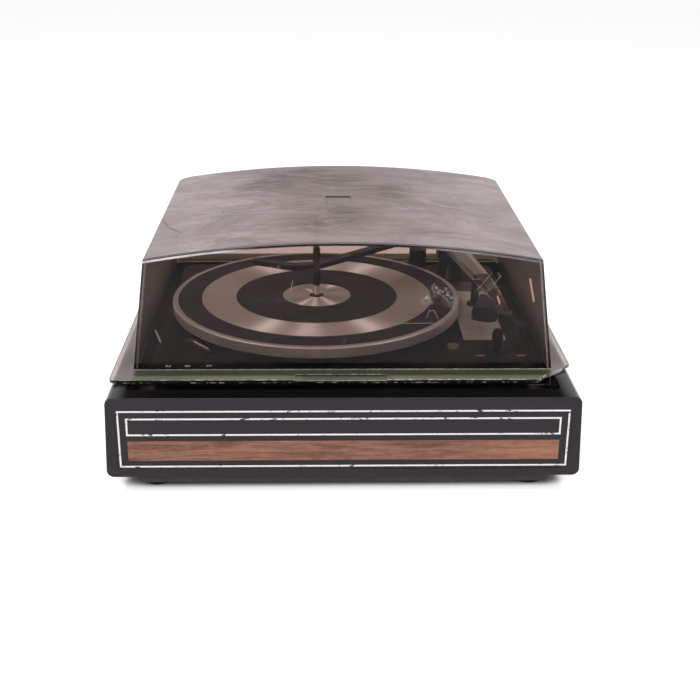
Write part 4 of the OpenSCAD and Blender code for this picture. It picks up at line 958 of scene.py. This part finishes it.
def backdrop():
    """White where it is seen, dimmer as a light."""
    world = bpy.data.worlds.new("studio")
    bpy.context.scene.world = world
    world.use_nodes = True
    steps = Steps(world.node_tree)
    light = steps.tree.nodes["Background"]
    steps.feed(light.inputs["Color"], (1, 1, 1))
    level = steps.add("MapRange", {0: seen_directly(steps), 3: AMBIENT, 4: 1}).outputs[0]
    steps.feed(light.inputs["Strength"], level)


def paper_floor():
    """White paper that glows where it is seen; the glow fades out in a soft rectangle under the plinth, a
    painted shadow over the real one.
    """
    p = Paint("studio_floor")
    mottle = p.ease(p.noise(3, 2), 0.3, 0.7)
    paper = p.add("BsdfDiffuse", {0: p.mix(mottle, (0.9, 0.9, 0.9), (0.92, 0.92, 0.92))}).outputs[0]
    half = (PLINTH_HIGH - PLINTH_LOW) / 2 - Vector((SHADE_INSET, SHADE_INSET, 0))
    centre = (PLINTH_HIGH + PLINTH_LOW) / 2
    gap = p.vector("ABSOLUTE", p.vector("SUBTRACT", p.place, (centre.x, centre.y, 0)))
    gap = p.vector("MAXIMUM", p.vector("SUBTRACT", gap, (half.x, half.y, 0)))
    # Painted shadow: no glow within the shrunken footprint, full glow from 20 mm beyond it
    clear = p.ease(p.vector("LENGTH", gap), SHADE_FROM, SHADE_TO, 0, FLOOR_GLOW)
    glow = p.add("Emission", {0: (1, 1, 1), 1: p.both(seen_directly(p), clear)}).outputs[0]
    p.done(p.add("AddShader", {0: paper, 1: glow}).outputs[0])
    bm = bmesh.new()
    bmesh.ops.create_grid(bm, x_segments=4, y_segments=4, size=FLOOR_SIZE)
    mesh = bpy.data.meshes.new("studio_floor")
    bm.to_mesh(mesh)
    bm.free()
    mesh.materials.append(p.material)
    floor = bpy.data.objects.new("studio_floor", mesh)
    bpy.context.scene.collection.objects.link(floor)


def softboxes():
    """Square lamps aimed at the plinth's rim, each as name, place, width and watts."""
    aim = Vector((0, 0, RIM_Z))
    for name, at, size, watts in SOFTBOXES:
        data = bpy.data.lights.new(name, "AREA")
        data.shape, data.size, data.energy = "SQUARE", size, watts
        lamp = bpy.data.objects.new(name, data)
        lamp.location = at
        lamp.visible_transmission = False
        lamp.rotation_mode = "QUATERNION"
        lamp.rotation_quaternion = (aim - Vector(at)).to_track_quat("-Z", "Y")
        bpy.context.scene.collection.objects.link(lamp)


backdrop()
paper_floor()
softboxes()
bpy.context.scene.view_settings.view_transform = "Standard"
